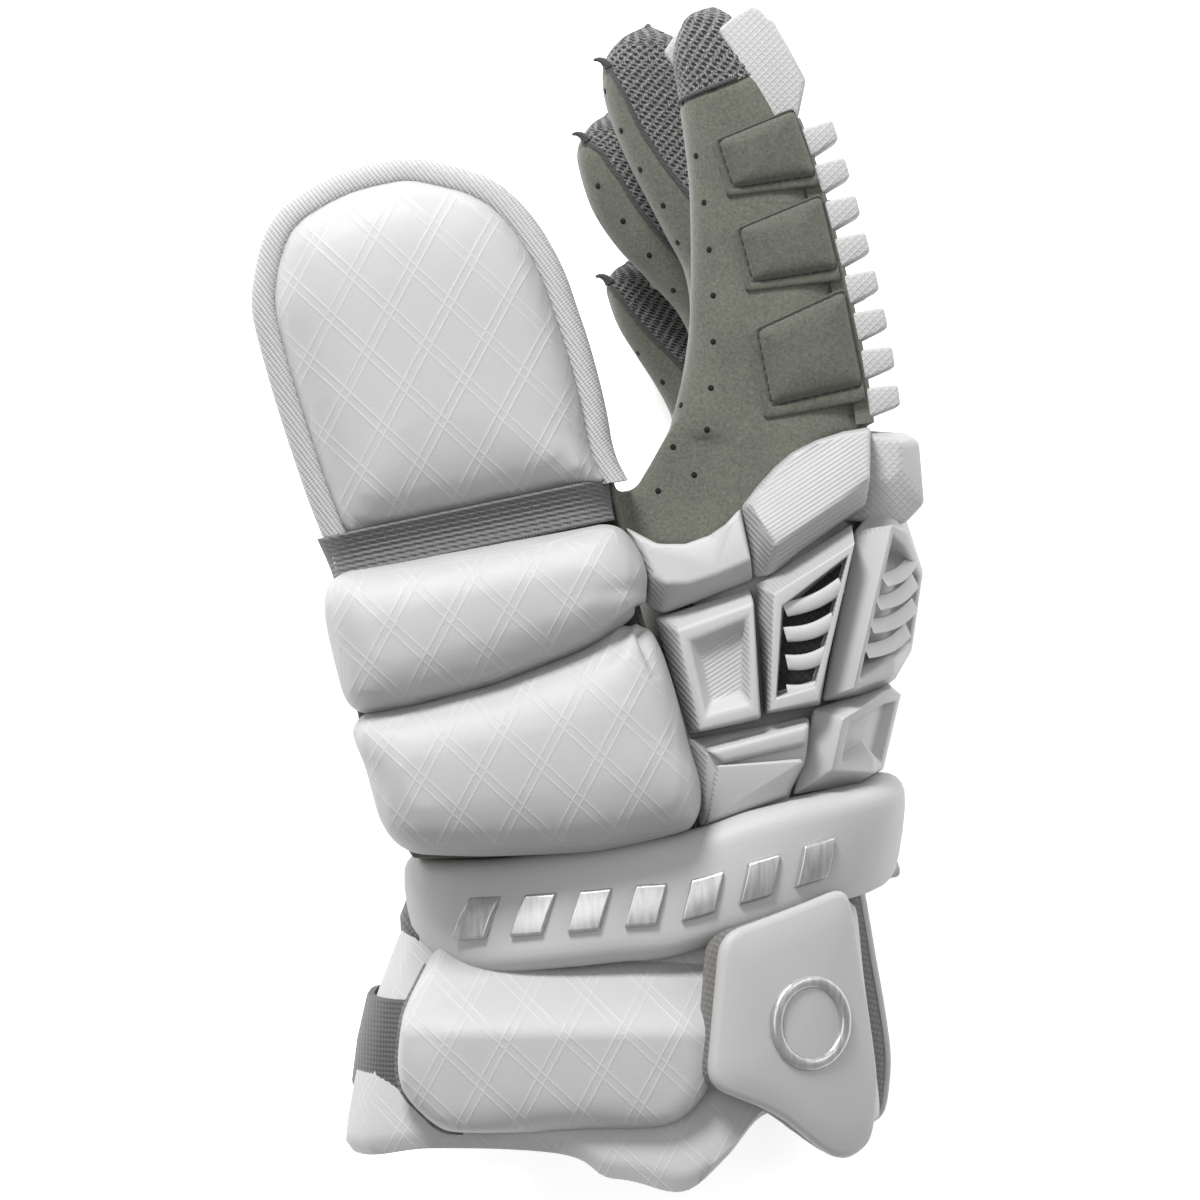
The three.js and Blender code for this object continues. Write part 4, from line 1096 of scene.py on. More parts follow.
def shape_object(points, faces, bevel=0.0, segments=2):
    """A small shape at its own origin, in millimetres."""
    mesh = bpy.data.meshes.new("shape")
    mesh.from_pydata([Vector(p) * MM for p in points], [], faces)
    mesh.validate()
    shape = in_scene("shape", mesh)
    if bevel:
        modify(shape, "BEVEL", width=bevel * MM, segments=segments, limit_method="NONE")
    return smooth_faces(shape)


print("trees:", rib_tree.name, stitch_tree.name)

# %% [markdown]
# Each finger's back carries foam ribs under one hatched cover, then a longer pad over the tip. A
# rib is a tapered bar, wider at its foot. Behind them runs a strip that follows the finger's back.

# %% Finger ribs, strips and tip pads
RIB_PITCH = 10.5
RIB_THICK = 7.3
RIB_FOOT = 8.9
RIB_HEAD = 5.8
RIB_PROUD = 8.8
RIB_WIDTH = 21.0
RIB_START = 2.0
STRIP_THICK = 1.0
STRIP_SINK = 4.0
STRIP_STEP = 2.0
TIP_LENGTH = 37.0
TIP_SHORT = 4.0


def box_points(foot, head, width_foot, width_head, low, high, lean=0.0):
    """Corners of a tapered bar: foot and head are its lengths along Y."""
    a, b, wa, wb = foot / 2, head / 2, width_foot / 2, width_head / 2
    points = [(-wa, -a, low), (wa, -a, low), (wa, a, low), (-wa, a, low),
              (-wb, lean - b, high), (wb, lean - b, high), (wb, lean + b, high), (-wb, lean + b, high)]
    faces = [(3, 2, 1, 0), (4, 5, 6, 7), (0, 1, 5, 4), (1, 2, 6, 5), (2, 3, 7, 6), (3, 0, 4, 7)]
    return points, faces


def back_line(name):
    rows = fingers[name][:-4]
    mid = finger_mid(name)
    return np.stack([rows[:, 2], rows[:, 0], np.full(len(rows), mid)], axis=1)


def along_line(line, distance, out):
    """A point beside a line in the XY plane, a distance along it and some way out."""
    reached = distances(line)
    at, ahead, behind = (np.array([np.interp(distance + step, reached, line[:, k]) for k in range(3)])
                         for step in (0.0, 1.0, -1.0))
    tangent = (ahead - behind) / max(np.linalg.norm(ahead - behind), 1e-9)
    return at + np.array([tangent[1], -tangent[0], 0]) * out


def strip_solid(name, line, start, end):
    """A strip of rounded section that follows a finger's back."""
    half = RIB_WIDTH / 2
    section = [(-STRIP_SINK, -half), (STRIP_THICK - 1.0, -half), (STRIP_THICK, -half + 1.2),
               (STRIP_THICK, half - 1.2), (STRIP_THICK - 1.0, half), (-STRIP_SINK, half)]
    rings = []
    for distance in np.linspace(start, end, int((end - start) / STRIP_STEP) + 2):
        rings.append([along_line(line, distance, out) + np.array([0, 0, across]) for out, across in section])
    return make(name, *tube_solid(np.array(rings)), suede)


rib_corners = box_points(RIB_FOOT, RIB_HEAD, RIB_WIDTH, RIB_WIDTH - 1.2, -3.0, RIB_PROUD, 1.3)
rib_shape = shape_object(*rib_corners, 0.9, 3)
for name in FINGER_LENGTH:
    line = back_line(name)
    whole = line_length(line)
    tip_from = whole - TIP_LENGTH
    count = int((tip_from - RIB_START - RIB_THICK) / RIB_PITCH) + 1
    strip = strip_solid(name + "_strip", line, 0.5, tip_from)
    ribs = repeat(name + "_ribs", rib_tree, line, rib_shape, count, RIB_START + RIB_THICK / 2, RIB_PITCH,
                  hatched)
    join_uv(strip, ribs)
    rename(strip, name + "_back_padding")
    wear(shade(strip, 50), "leather", name + "_backing")
drop(rib_shape)

TIP_STEPS = [
    (0, -3), (0, 0.6), (0.2, 6.6), (0.24, 7.6), (0.5, 8.2), (0.8, 8.4), (0.84, 7.4), (0.92, 7),
    (0.99, 5.4), (1, 1),
]


def tip_pad(name):
    """The pad over a fingertip: straight across, domed along the finger."""
    line = back_line(name)
    whole = line_length(line)
    start = whole - TIP_LENGTH
    mid = line[0][2]
    end = start + TIP_LENGTH - TIP_SHORT
    top = [along_line(line, start + share * (end - start), proud) for share, proud in TIP_STEPS]
    outline = [p[:2] for p in (along_line(line, start, -6.0), *top, along_line(line, end, -6.0))]
    body = prism(outline, mid - RIB_WIDTH / 2, mid + RIB_WIDTH / 2, name + "_tip_pad")
    soften(body, 1.2, 40)
    hollow = make("room", *tube_solid(rings_of(stretched(fingers[name], PAST, 0), 48, -0.6)))
    combine(body, hollow, "DIFFERENCE")
    rename(body, name + "_tip_pad", hatched)
    wear(shade(body, 40), "leather", name + "_tip_block")


for name in FINGER_LENGTH:
    tip_pad(name)

# %% [markdown]
# The hand is guarded by foam blocks, each a frustum under a moulded cover: sloped ridged walls, a
# plain top, and on some a recess with a rim. Each block below is a list of rings from its foot to
# its floor, with the same number of corners in each. Skinning the rings gives facets, and a small
# bevel gives the soft edges that the moulding leaves.

# %% Padding blocks: how one is made
BLOCK_ROUND = 1.3
SLAT_WIDE = 4.4
SLAT_THICK = 3.0
SMALL_FACE = 4e-6


def block_rings(foot, top, rim=None, slope=2.5, depth=5.0, low=104.0):
    """Rings of a block. A rim leaves a recess with sloped walls inside it."""
    foot, top = np.array(foot, float), np.array(top, float)
    buried = foot.copy()
    buried[:, 2] = np.minimum(foot[:, 2], low)
    rings = [buried, foot, top]
    if rim:
        centre = top.mean(axis=0)
        normal = np.cross(top[1] - top[0], top[-1] - top[0])
        normal = normal / np.linalg.norm(normal)
        normal = normal if normal[2] > 0 else -normal
        inward = centre - top
        size = np.linalg.norm(inward, axis=1, keepdims=True)
        opening = top + inward / size * rim * 1.35
        floor = top + inward / size * (rim + slope) * 1.35 - normal * depth
        rings += [opening, floor]
    return np.array(rings)


def block_piece(name, rings, extras=(), slats=(), flip=False):
    body = None
    for part_rings in (rings, *extras):
        points, faces = tube_solid(part_rings)
        if flip:
            points, faces = mirrored(points, faces, HAND_MID)
        part = make(name, points, faces)
        soften(part, BLOCK_ROUND, 22)
        if body:
            join_uv(body, part)
        body = body or part
    for finish in (leather, side_ridged, ridged, liner_mesh):
        body.data.materials.append(finish)
    join_uv(body, *[slat(start, end, arch, flip) for start, end, arch in slats])
    return body


def slat(start, end, arch, flip):
    """A bar that arches between two points."""
    start, end = np.array(start, float), np.array(end, float)
    along = (end - start) / np.linalg.norm(end - start)
    across = np.cross((0, 0, 1), along)
    across /= np.linalg.norm(across)
    rings = []
    for t in np.linspace(0, 1, 9):
        middle = start + (end - start) * t + across * arch * math.sin(math.pi * t)
        turns = np.linspace(0, 2 * math.pi, 13)[:-1]
        side = np.sign(np.cos(turns)) * np.abs(np.cos(turns)) ** 0.6 * SLAT_WIDE / 2
        up = np.sign(np.sin(turns)) * np.abs(np.sin(turns)) ** 0.6 * SLAT_THICK / 2
        rings.append(middle + side[:, None] * across + up[:, None] * np.array([0, 0, 1.0]))
    points, faces = tube_solid(np.array(rings))
    if flip:
        points, faces = mirrored(points, faces, HAND_MID)
    return make("slat", points, faces, leather)


def finish_walls(body, top=None):
    """Ridges on the walls that face the thumb. A top, or a recess's floor, can be ridged or dark too."""
    highest = max(abs(v.co.z - HAND_MID * MM) for v in body.data.vertices)
    for face in body.data.polygons:
        up = abs(face.normal.z)
        depth = highest - abs(face.center.z - HAND_MID * MM)
        if face.area < SMALL_FACE:
            continue
        if face.normal.x < -0.3 and up < 0.8 and depth < 0.016:
            face.material_index = 1
        elif top == "ridged" and (up > 0.8 or face.normal.y < -0.4):
            face.material_index = 2
        elif top == "floor" and up > 0.8 and depth > 0.003:
            face.material_index = 2
        elif top == "dark" and up > 0.8 and depth > 0.006:
            face.material_index = 3
    return shade(body, 30)


# %% [markdown]
# The tables give each block's corners in pattern millimetres, x, y and height, in the same order
# from ring to ring. The web pad follows the crotch with a hollow edge, the knuckle pad beside it
# falls away on two sides, and the vented ones hold arched slats, over dark slots on the hand's
# sides and over a white floor on its back.

# %% Padding blocks of both sides
SIDES = (("thumb", False), ("little_finger", True))
WEB_FOOT = [
    (6.8, 20.2, 112), (16, 15, 112), (23.3, 15, 112), (29.8, 17.2, 112), (34.7, 20.5, 112),
    (38.6, 25.5, 112), (42, 5.6, 113), (33.7, 2.4, 113), (25.7, -0.8, 113), (17.2, -3.8, 113),
    (12.8, -1.5, 113), (10.8, 9.8, 112),
]
WEB_TOP = [
    (8.2, 18.6, 116), (16, 15.4, 119.5), (23.3, 15.4, 120), (29.7, 17.7, 120), (34.4, 20.9, 119.5),
    (38.1, 24.8, 118), (41.3, 11, 121.5), (32.1, 6.9, 122), (24.1, 4.3, 122), (18.2, 4.7, 122),
    (14.2, 6.9, 121), (11.6, 13, 119),
]
KNUCKLE_FOOT = [
    (38.8, 25.6, 112), (43.1, 31.2, 112), (47.9, 36.5, 112), (52.8, 40.6, 112), (59.2, 43.8, 112),
    (66.6, 46.2, 111), (74.4, 47.6, 109), (73, 26, 112), (64.2, 20, 113), (55.3, 13.6, 113),
    (46.9, 6.7, 113), (41.9, 6.2, 112),
]
KNUCKLE_TOP = [
    (39.7, 26.3, 116), (43.5, 30.6, 117), (48.2, 35.9, 117), (53, 39.9, 117), (59.3, 43.1, 117),
    (66.6, 45.4, 116), (73.8, 46.6, 115), (74, 33.6, 119.5), (65.8, 27.2, 121.5), (56.1, 20.4, 122),
    (47.6, 14.6, 122), (44, 20.6, 120),
]
RECESSED_FOOT = [(15.0, -5.0, 111), (41.3, 3.2, 111), (44.5, -32.8, 111), (24.4, -36.8, 111)]
RECESSED_TOP = [(20.8, -8.2, 121), (42.0, -0.6, 122), (43.8, -32.0, 122), (27.2, -36.0, 121)]
VENT_FOOT = [
    (42.6, 4.2, 111), (69.2, 20.8, 111), (60.4, -28.8, 111), (45, -31.5, 111),
]
VENT_TOP = [(47.3, 1.6, 121.5), (69.6, 15.6, 121), (59.6, -27.6, 121), (46.4, -30.4, 121.5)]
LOWER_FOOT = [
    (23.6, -38.2, 111), (57.4, -32, 111), (57.6, -36.5, 111), (51.6, -55, 111), (27.4, -63, 111),
]
LOWER_TOP = [
    (29.6, -41.6, 118), (56.6, -34.6, 118.6), (56.2, -44.5, 118), (50.8, -52.6, 115.6),
    (28.6, -60.6, 114.6),
]
BACK_VENT_FOOT = [
    (69.8, 18.5, 111), (77.2, 27.6, 98), (85.6, 25.5, 62), (83.5, -22, 62), (74.5, -27.5, 94),
    (60.8, -27.8, 111),
]
BACK_VENT_TOP = [
    (80.2, 21, 117.5), (84.8, 18.4, 107), (91.2, 7.5, 64), (88.2, -13.5, 64), (81.2, -20.8, 103),
    (69.6, -24.6, 117.5),
]
BACK_LOWER_FOOT = [
    (58.6, -30, 111), (80.4, -23, 94), (81, -25, 62), (76, -50, 62), (70, -51.5, 96),
    (53, -53.5, 110),
]
BACK_LOWER_TOP = [
    (66.6, -32.6, 117.5), (80.4, -24.4, 106), (85, -26.5, 64), (80, -47.5, 64), (75.6, -47.6, 103),
    (63.8, -46.6, 115.5),
]

VENT_SLATS = [
    ((50.4, -2.6, 118.5), (66, 4.2, 118.5), -1.2), ((50.6, -9.4, 118.5), (63.8, -5.4, 118.5), -1.2),
    ((51, -17, 118.5), (61.8, -14.6, 118.5), -1), ((51.2, -25.2, 117.5), (59.6, -24, 117.5), -0.6),
]
BACK_SLATS = [
    ((77.6, 5.4, 114.5), (87.4, 12, 82), -1.5), ((75.8, -0.9, 114.5), (88, 5.6, 80), -1.5),
    ((74.2, -7.3, 114.5), (88, -1.2, 78), -1.5), ((72.8, -14, 114), (86, -8.2, 80), -1.5),
]
LOWER_BAR_FOOT = [(26.6, -39.8, 112), (57.4, -32.4, 112), (57.0, -39.8, 112), (32.6, -45.4, 112)]
LOWER_BAR_TOP = [(29.6, -41.4, 121), (57.0, -34.0, 122), (56.2, -39.4, 121.6), (33.6, -44.6, 120.6)]
LOWER_FACE_FOOT = [
    (30, -44.8, 112), (55.6, -42.6, 112), (56.6, -44, 112), (51.2, -54.4, 112), (28.4, -62.4, 112),
]
LOWER_FACE_TOP = [
    (32.4, -45.2, 120.2), (54.4, -43.6, 121.2), (55.4, -44.6, 121), (50.6, -53, 117),
    (29.4, -60.8, 115.6),
]


def block(name, foot, top, node, flip=False, finish=None, extras=(), slats=(), **options):
    """One padding block. Flip mirrors it to the little finger's side."""
    extras = [block_rings(*extra) for extra in extras]
    body = block_piece(name, block_rings(foot, top, **options), extras, slats, flip)
    wear(finish_walls(body, finish), "leather", node)


block("web_pad", WEB_FOOT, WEB_TOP, "web_block")
for side, flip in SIDES:
    block("knuckle_pad_" + side, KNUCKLE_FOOT, KNUCKLE_TOP, "knuckle_side_block" + ("_ulnar" if flip else ""),
          flip, "ridged")
    block("recessed_pad_" + side, RECESSED_FOOT, RECESSED_TOP,
          "vent_block_ulnar" if flip else "recessed_block", flip, "floor", rim=3.4, slope=3.0, depth=4.5)
    ending = "_ulnar" if flip else "_radial"
    block("vented_pad_" + side, VENT_FOOT, VENT_TOP, "vent_block" + ending, flip, "dark",
          slats=VENT_SLATS, rim=3.0, slope=0.8, depth=9.0)
    block("lower_pad_" + side, LOWER_FOOT, LOWER_TOP, "lower_block" + ending, flip,
          extras=[(LOWER_BAR_FOOT, LOWER_BAR_TOP), (LOWER_FACE_FOOT, LOWER_FACE_TOP)])
    ending = "_dorsal_2" if flip else "_dorsal_1"
    block("back_vented_pad_" + side, BACK_VENT_FOOT, BACK_VENT_TOP, "vent_block" + ending, flip,
          slats=BACK_SLATS, rim=3.4, slope=0.8, depth=7.0, low=62.0)
    block("back_lower_pad_" + side, BACK_LOWER_FOOT, BACK_LOWER_TOP, "lower_block" + ending, flip,
          rim=4.0, slope=3.5, depth=4.0, low=62.0)

# %% [markdown]
# Over each knuckle sits a larger pad, cut like a gem: a small hatched facet towards the thumb, and
# smooth facets that slope from it to the full outline.

# %% Knuckle pads
KNUCKLE_PAD = [(66.8, 21.8), (83.9, 20.9), (89.4, 26.6), (88.0, 43.6), (84.5, 46.0), (66.8, 47.0)]
KNUCKLE_FACET = [(66.8, 33.4), (79.4, 32.8), (82.2, 35.6), (82.6, 42.4), (81.4, 44.2), (66.8, 45.6)]


for name in FINGER_LENGTH:
    mid = finger_mid(name)
    half = RIB_WIDTH / 2 + 0.6
    rings = []
    for outline, out in ((KNUCKLE_FACET, -half), (KNUCKLE_PAD, 5.5 - half), (KNUCKLE_PAD, half - 5.5),
                         (KNUCKLE_FACET, half)):
        rings.append([(x, y, mid + out) for x, y in outline])
    pad = make(name + "_knuckle_pad", *tube_solid(np.array(rings)))
    soften(pad, 1.5, 20)
    rename(pad, name + "_knuckle_pad", hatched)
    wear(shade(pad, 32), "leather", name + "_knuckle_block")

# %% [markdown]
# The white pads of the thumb and cuff are embossed with a lattice of double lines. The lines are
# raised a little in the mesh, and the finish lightens and raises them further. Both read one rule,
# in pattern millimetres.

# %% Embossed lattice
LINE_SETS = ((62.0, 13.4), (-43.0, 12.4))
LINE_GAP = 2.3
LINE_WIDTH = 0.45
LINE_HIGH = 0.05
FINE_LINE = 0.2


def lattice_height(x, y):
    height = np.zeros_like(x)
    for turn, pitch in LINE_SETS:
        angle = math.radians(turn)
        across = -x * math.sin(angle) + y * math.cos(angle)
        off = np.mod(across, pitch) - pitch / 2
        for side in (-0.5, 0.5):
            height = np.maximum(height, np.exp(-((off - side * LINE_GAP) / LINE_WIDTH) ** 2))
    return height


def lattice_lines(tree, x, y):
    """How high the raised lines stand at a place of a plane, from 0 to 1."""
    height = None
    for turn, pitch in LINE_SETS:
        angle = math.radians(turn)
        across = tree.math("MULTIPLY_ADD", x, -math.sin(angle), tree.times(y, math.cos(angle)))
        off = tree.math("SUBTRACT", tree.math("FLOORED_MODULO", across, pitch), pitch / 2)
        near = tree.math("SUBTRACT", tree.math("ABSOLUTE", off), LINE_GAP / 2)
        scaled = tree.times(near, 1 / FINE_LINE)
        squared = tree.times(scaled, scaled)
        line = tree.math("EXPONENT", tree.times(squared, -1.0))
        height = line if height is None else tree.math("MAXIMUM", height, line)
    return height


def lattice_leather():
    """The lines are laid on the faces from above, and on the steep sides from the side."""
    tree = white_leather("lattice_leather", 0.41)
    place = tree.turned()
    x = tree.math("SUBTRACT", tree.axis(place, "X"), float(shift[0]))
    y = tree.math("SUBTRACT", tree.axis(place, "Y"), float(shift[1]))
    facing = tree.axis(tree.add("ShaderNodeNewGeometry").outputs["Normal"], "Z")
    flat = tree.math("MULTIPLY_ADD", tree.math("ABSOLUTE", facing), 4.0, -1.6)
    flat = tree.math("MINIMUM", tree.math("MAXIMUM", flat, 0.0), 1.0)
    steep = tree.math("SUBTRACT", 1.0, flat)
    height = tree.math("ADD", tree.times(lattice_lines(tree, x, y), flat),
                       tree.times(lattice_lines(tree, tree.axis(place, "Z"), y), steep))
    under = tree.shader.inputs["Base Color"].links[0].from_socket
    mixed = tree.add("ShaderNodeMix", {"Factor": tree.times(height, 0.45)}, data_type="RGBA")
    tree.links.new(under, mixed.inputs[6])
    mixed.inputs[7].default_value = (0.54, 0.54, 0.545, 1)
    tree.colour(mixed.outputs[2])
    tree.bump(height, 0.00007)
    return tree.material


lattice = lattice_leather()
print("finish:", lattice.name)

# %% [markdown]
# A pad starts as a plain closed form over its outline, a little smaller than the finished one. The
# cloth simulation then blows it up against its own cover, which gives the taut crown and the small
# tension folds that no profile curve has. How far a point may move is capped, so the pad still
# fits between its neighbours, and the fine subdivision comes last, to carry the lattice.

# %% Helpers for pads
PAD_VOXEL = 3.4
PAD_PRESSURE = 4.0
PAD_FRAMES = 20
PAD_LEVELS = 3
PILLOW = [(0.0, 0.0), (0.0, 0.42), (0.05, 0.62), (0.16, 0.8), (0.38, 0.94), (0.7, 1.0)]


def grown(line, amount):
    """A closed line moved out by an amount, whichever way round it runs."""
    tangent = np.roll(line, -1, axis=0) - np.roll(line, 1, axis=0)
    tangent /= np.linalg.norm(tangent, axis=1, keepdims=True)
    out = np.stack([tangent[:, 1], -tangent[:, 0]], axis=1)
    if np.sum(out * (line - line.mean(axis=0))) < 0:
        out = -out
    return line + out * amount


def smooth_outline(outline, count, radius=6.0):
    """A closed outline with each corner rounded off by an arc that starts a radius from it."""
    corners = np.asarray(outline, float)
    points = []
    for k, corner in enumerate(corners):
        before, after = corners[k - 1] - corner, corners[(k + 1) % len(corners)] - corner
        a = corner + before * min(0.5, radius / np.linalg.norm(before))
        b = corner + after * min(0.5, radius / np.linalg.norm(after))
        for t in np.linspace(0, 1, 6):
            points.append((1 - t) ** 2 * a + 2 * t * (1 - t) * corner + t ** 2 * b)
    points = np.array(points)
    return evenly(np.vstack([points, points[:1]]), count, closed=True)


def pillow(name, outline, spine, low, height, steps=PILLOW):
    a, b = np.array(spine[0], float), np.array(spine[1], float)
    along = b - a
    share = np.clip(((outline - a) @ along) / (along @ along), 0, 1)
    nearest = a + share[:, None] * along
    rings = []
    for inward, up in spline(steps, 3):
        ring = outline + (nearest - outline) * inward
        rings.append(np.column_stack([ring, np.full(len(ring), low + up * height)]))
    return make(name, *tube_solid(np.array(rings)))


def vectors(store, key):
    """What a mesh stores under a key, as rows of three numbers."""
    values = np.empty(len(store) * 3)
    store.foreach_get(key, values)
    return values.reshape(-1, 3)


def read_points(piece):
    return vectors(piece.data.vertices, "co") / MM - shift


def write_points(piece, points):
    piece.data.vertices.foreach_set("co", to_frame(points).ravel())
    piece.data.update()


def blow_up(piece, held_below, cap):
    """Cloth with pressure, held along its foot. Nothing random goes in, so it repeats exactly."""
    start = vectors(piece.data.vertices, "co")
    group = piece.vertex_groups.new(name="held")
    group.add([int(k) for k in np.nonzero(start[:, 2] < held_below * MM)[0]], 1.0, "REPLACE")
    modifier = piece.modifiers.new("cloth", "CLOTH")
    cloth = modifier.settings
    cloth.use_pressure = True
    cloth.uniform_pressure_force = PAD_PRESSURE
    cloth.effector_weights.gravity = 0.0
    cloth.vertex_group_mass = "held"
    cloth.tension_stiffness = 12
    cloth.compression_stiffness = 12
    cloth.bending_stiffness = 0.6
    scene = bpy.context.scene
    for number in range(1, PAD_FRAMES + 1):
        scene.frame_set(number)
    freeze(piece)
    scene.frame_set(1)
    piece.vertex_groups.clear()
    step = vectors(piece.data.vertices, "co") - start
    far = np.linalg.norm(step, axis=1, keepdims=True)
    step *= np.minimum(1.0, cap * MM / np.maximum(far, 1e-9))
    piece.data.vertices.foreach_set("co", (start + step).ravel())
    piece.data.update()
    print(piece.name, "moved up to, mm:", round(float(np.minimum(far, cap * MM).max() / MM), 1))


def pad_from(piece, name, held_below, cap, folds=None):
    """Remesh, blow up, subdivide and emboss a plain form."""
    modify(piece, "REMESH", mode="VOXEL", voxel_size=PAD_VOXEL * MM, use_smooth_shade=True)
    modify(piece, "SMOOTH", factor=0.5, iterations=2)
    blow_up(piece, held_below, cap)
    modify(piece, "SUBSURF", levels=PAD_LEVELS, render_levels=PAD_LEVELS)
    points = read_points(piece)
    normals = vectors(piece.data.vertex_normals, "vector")
    if folds:
        points = points + normals * folds(points)[:, None]
    facing_up = np.clip(normals[:, 2] * 3, 0, 1)
    raised = LINE_HIGH * lattice_height(points[:, 0], points[:, 1]) * facing_up
    write_points(piece, points + normals * raised[:, None])
    return smooth_faces(rename(piece, name, lattice))


def fold(points, start, end, depth, width):
    """A dent along a line seen from above, deepest at its start."""
    a, b = np.array(start, float), np.array(end, float)
    along = b - a
    share = np.clip(((points[:, :2] - a) @ along) / (along @ along), 0, 1)
    away = np.linalg.norm(points[:, :2] - (a + share[:, None] * along), axis=1)
    return -depth * np.exp(-(away / width) ** 2) * (1 - 0.8 * share)


# %% [markdown]
# The thumb's guard has three pads on the suede bowl. The upper one is edged with a tape, and the two
# lower ones are rolls that meet in a deep crease so that the thumb can bend.

# %% Thumb pads
BINDING_WIDE = 7.0
PAD_LEVEL = 22.0
FLEX_SLANT = 0.21
FLEX_LENGTH = 10.6
PAD_HIGH = 26.0
ROLL_HIGH = 32.0
PAD_GROW = 1.3
RIM_FLARE = 3.6
TAPE_MORE = 10.5


def slant(x, level):
    return level + FLEX_SLANT * (x - THUMB_X)


def rim_line(inset, level, count=150, left_more=0.0):
    """The thumb's rim from its left foot over the tip to its right foot, moved in."""
    left = [(row[1], row[0]) for row in thumb_rows]
    right = [(row[2], row[0]) for row in thumb_rows[::-1]]
    line = evenly(np.array(left + right), 400)
    tangent = np.gradient(line, axis=0)
    tangent /= np.linalg.norm(tangent, axis=1, keepdims=True)
    line = line + inset * np.stack([tangent[:, 1], -tangent[:, 0]], axis=1)
    right = line[:, 0] > THUMB_X
    line[:, 0] += right * RIM_FLARE * np.clip((46.0 - line[:, 1]) / 14.0, 0, 1.2) ** 2
    kept = line[line[:, 1] > slant(line[:, 0], level - np.where(right, 0.0, left_more))]
    return evenly(kept, count)


def on_thumb(points):
    return [(THUMB_X + a * THUMB_WIDTH, THUMB_BASE_Y + b * THUMB_LENGTH) for a, b in points]


def thumb_cushion(node, outline, spine, low, high, folds=None):
    """A filled pad of the thumb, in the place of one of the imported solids."""
    pad = pad_from(pillow(node, outline, spine, low, high), node + "_cover", RIM_Z + 3, 5, folds)
    wear(pad, "leather", node)


upper_outline = rim_line(BINDING_WIDE - 1.2, PAD_LEVEL - 1.6, 130)
thumb_cushion("thumb_pad", upper_outline, [(-47, 58), (-50, 78)], RIM_Z - 1, PAD_HIGH)

ROLL_TOP = PAD_LEVEL - FLEX_LENGTH - 0.6
upper_roll_outline = on_thumb([
    (-0.25, 0.405), (-0.28, 0.37), (-0.255, 0.31), (-0.205, 0.22), (-0.155, 0.211), (-0.01, 0.224),
    (0.245, 0.255), (0.51, 0.303), (0.69, 0.352), (0.71, 0.385), (0.695, 0.425), (0.62, 0.477),
])
upper_roll_outline = [(x, min(y, slant(x, ROLL_TOP))) for x, y in upper_roll_outline]
lower_pad_outline = on_thumb([
    (-0.16, 0.207), (-0.195, 0.185), (-0.145, 0.14), (-0.12, 0.09), (-0.095, 0.05), (-0.03, 0.016),
    (0.2, 0.012), (0.55, 0.018), (0.73, 0.036), (0.865, 0.052), (0.87, 0.11), (0.835, 0.15),
    (0.79, 0.235), (0.745, 0.3), (0.69, 0.345), (0.51, 0.296), (0.245, 0.248), (-0.01, 0.217),
])
thumb_cushion("thumb_upper_roll", grown(smooth_outline(upper_roll_outline, 130, 3.0), PAD_GROW),
              on_thumb([(-0.08, 0.315), (0.5, 0.385)]), RIM_Z, ROLL_HIGH,
              lambda p: fold(p, (11.5, -3), (2, -9), 2.2, 1.6) + fold(p, (11, 3), (-3, 2), 0.8, 2.5))
thumb_cushion("thumb_lower_pad", grown(smooth_outline(lower_pad_outline, 150, 3.0), PAD_GROW),
              on_thumb([(0.02, 0.115), (0.62, 0.165)]), RIM_Z, ROLL_HIGH,
              lambda p: fold(p, (11, -8), (15, -20), 2.6, 1.5) + fold(p, (8, -6), (2, -16), 1.2, 2.0))

# %% [markdown]
# The tape round the upper pad is a strip folded over the rim and sewn near its inner edge. Its
# section is swept along the rim, and its UV map runs along it. Its twill is cut on the slant, like
# the other tapes', so it reads Object coordinates and keeps one slant in the picture.

# %% Tape round the rim
BINDING_SECTION = [
    (0.6, -6), (-0.3, -3), (-0.7, 1), (-0.5, 5), (0.4, 7.6), (2, 8.9), (4, 9.3), (5.6, 8.9),
    (6.1, 8.4), (6.5, 8.8), (7.3, 8.6), (7.6, 7.6), (7.2, 2), (6.6, -2),
]


def sweep(name, lines, heights):
    """A body through lines of one length, each at its own height."""
    columns = [np.column_stack([line, np.full(len(line), z)]) for line, z in zip(lines, heights)]
    grid = np.stack(columns, axis=1)
    piece = make(name, *tube_solid(grid))
    uv = np.stack(np.meshgrid(distances(grid[0]), distances(grid[:, 0])), axis=2)
    set_uv(piece, uv.reshape(-1, 2))
    return piece


rim_lines = [rim_line(inset, PAD_LEVEL - 1.5, 260, TAPE_MORE) for inset, _ in BINDING_SECTION]
binding = sweep("thumb_rim_tape", rim_lines, [RIM_Z + up for _, up in BINDING_SECTION])
rename(binding, "thumb_rim_tape", binding_tape)
wear(shade(binding, 50), "webbing", "thumb_binding")

# %% [markdown]
# An elastic band joins the upper pad to the rolls where the thumb bends. Its ribs run along it, so
# they are modelled as shallow waves across its section.

# %% Elastic band
BAND_RIB = 1.5
flex_high = PAD_LEVEL - 0.2
flex_low = flex_high - FLEX_LENGTH


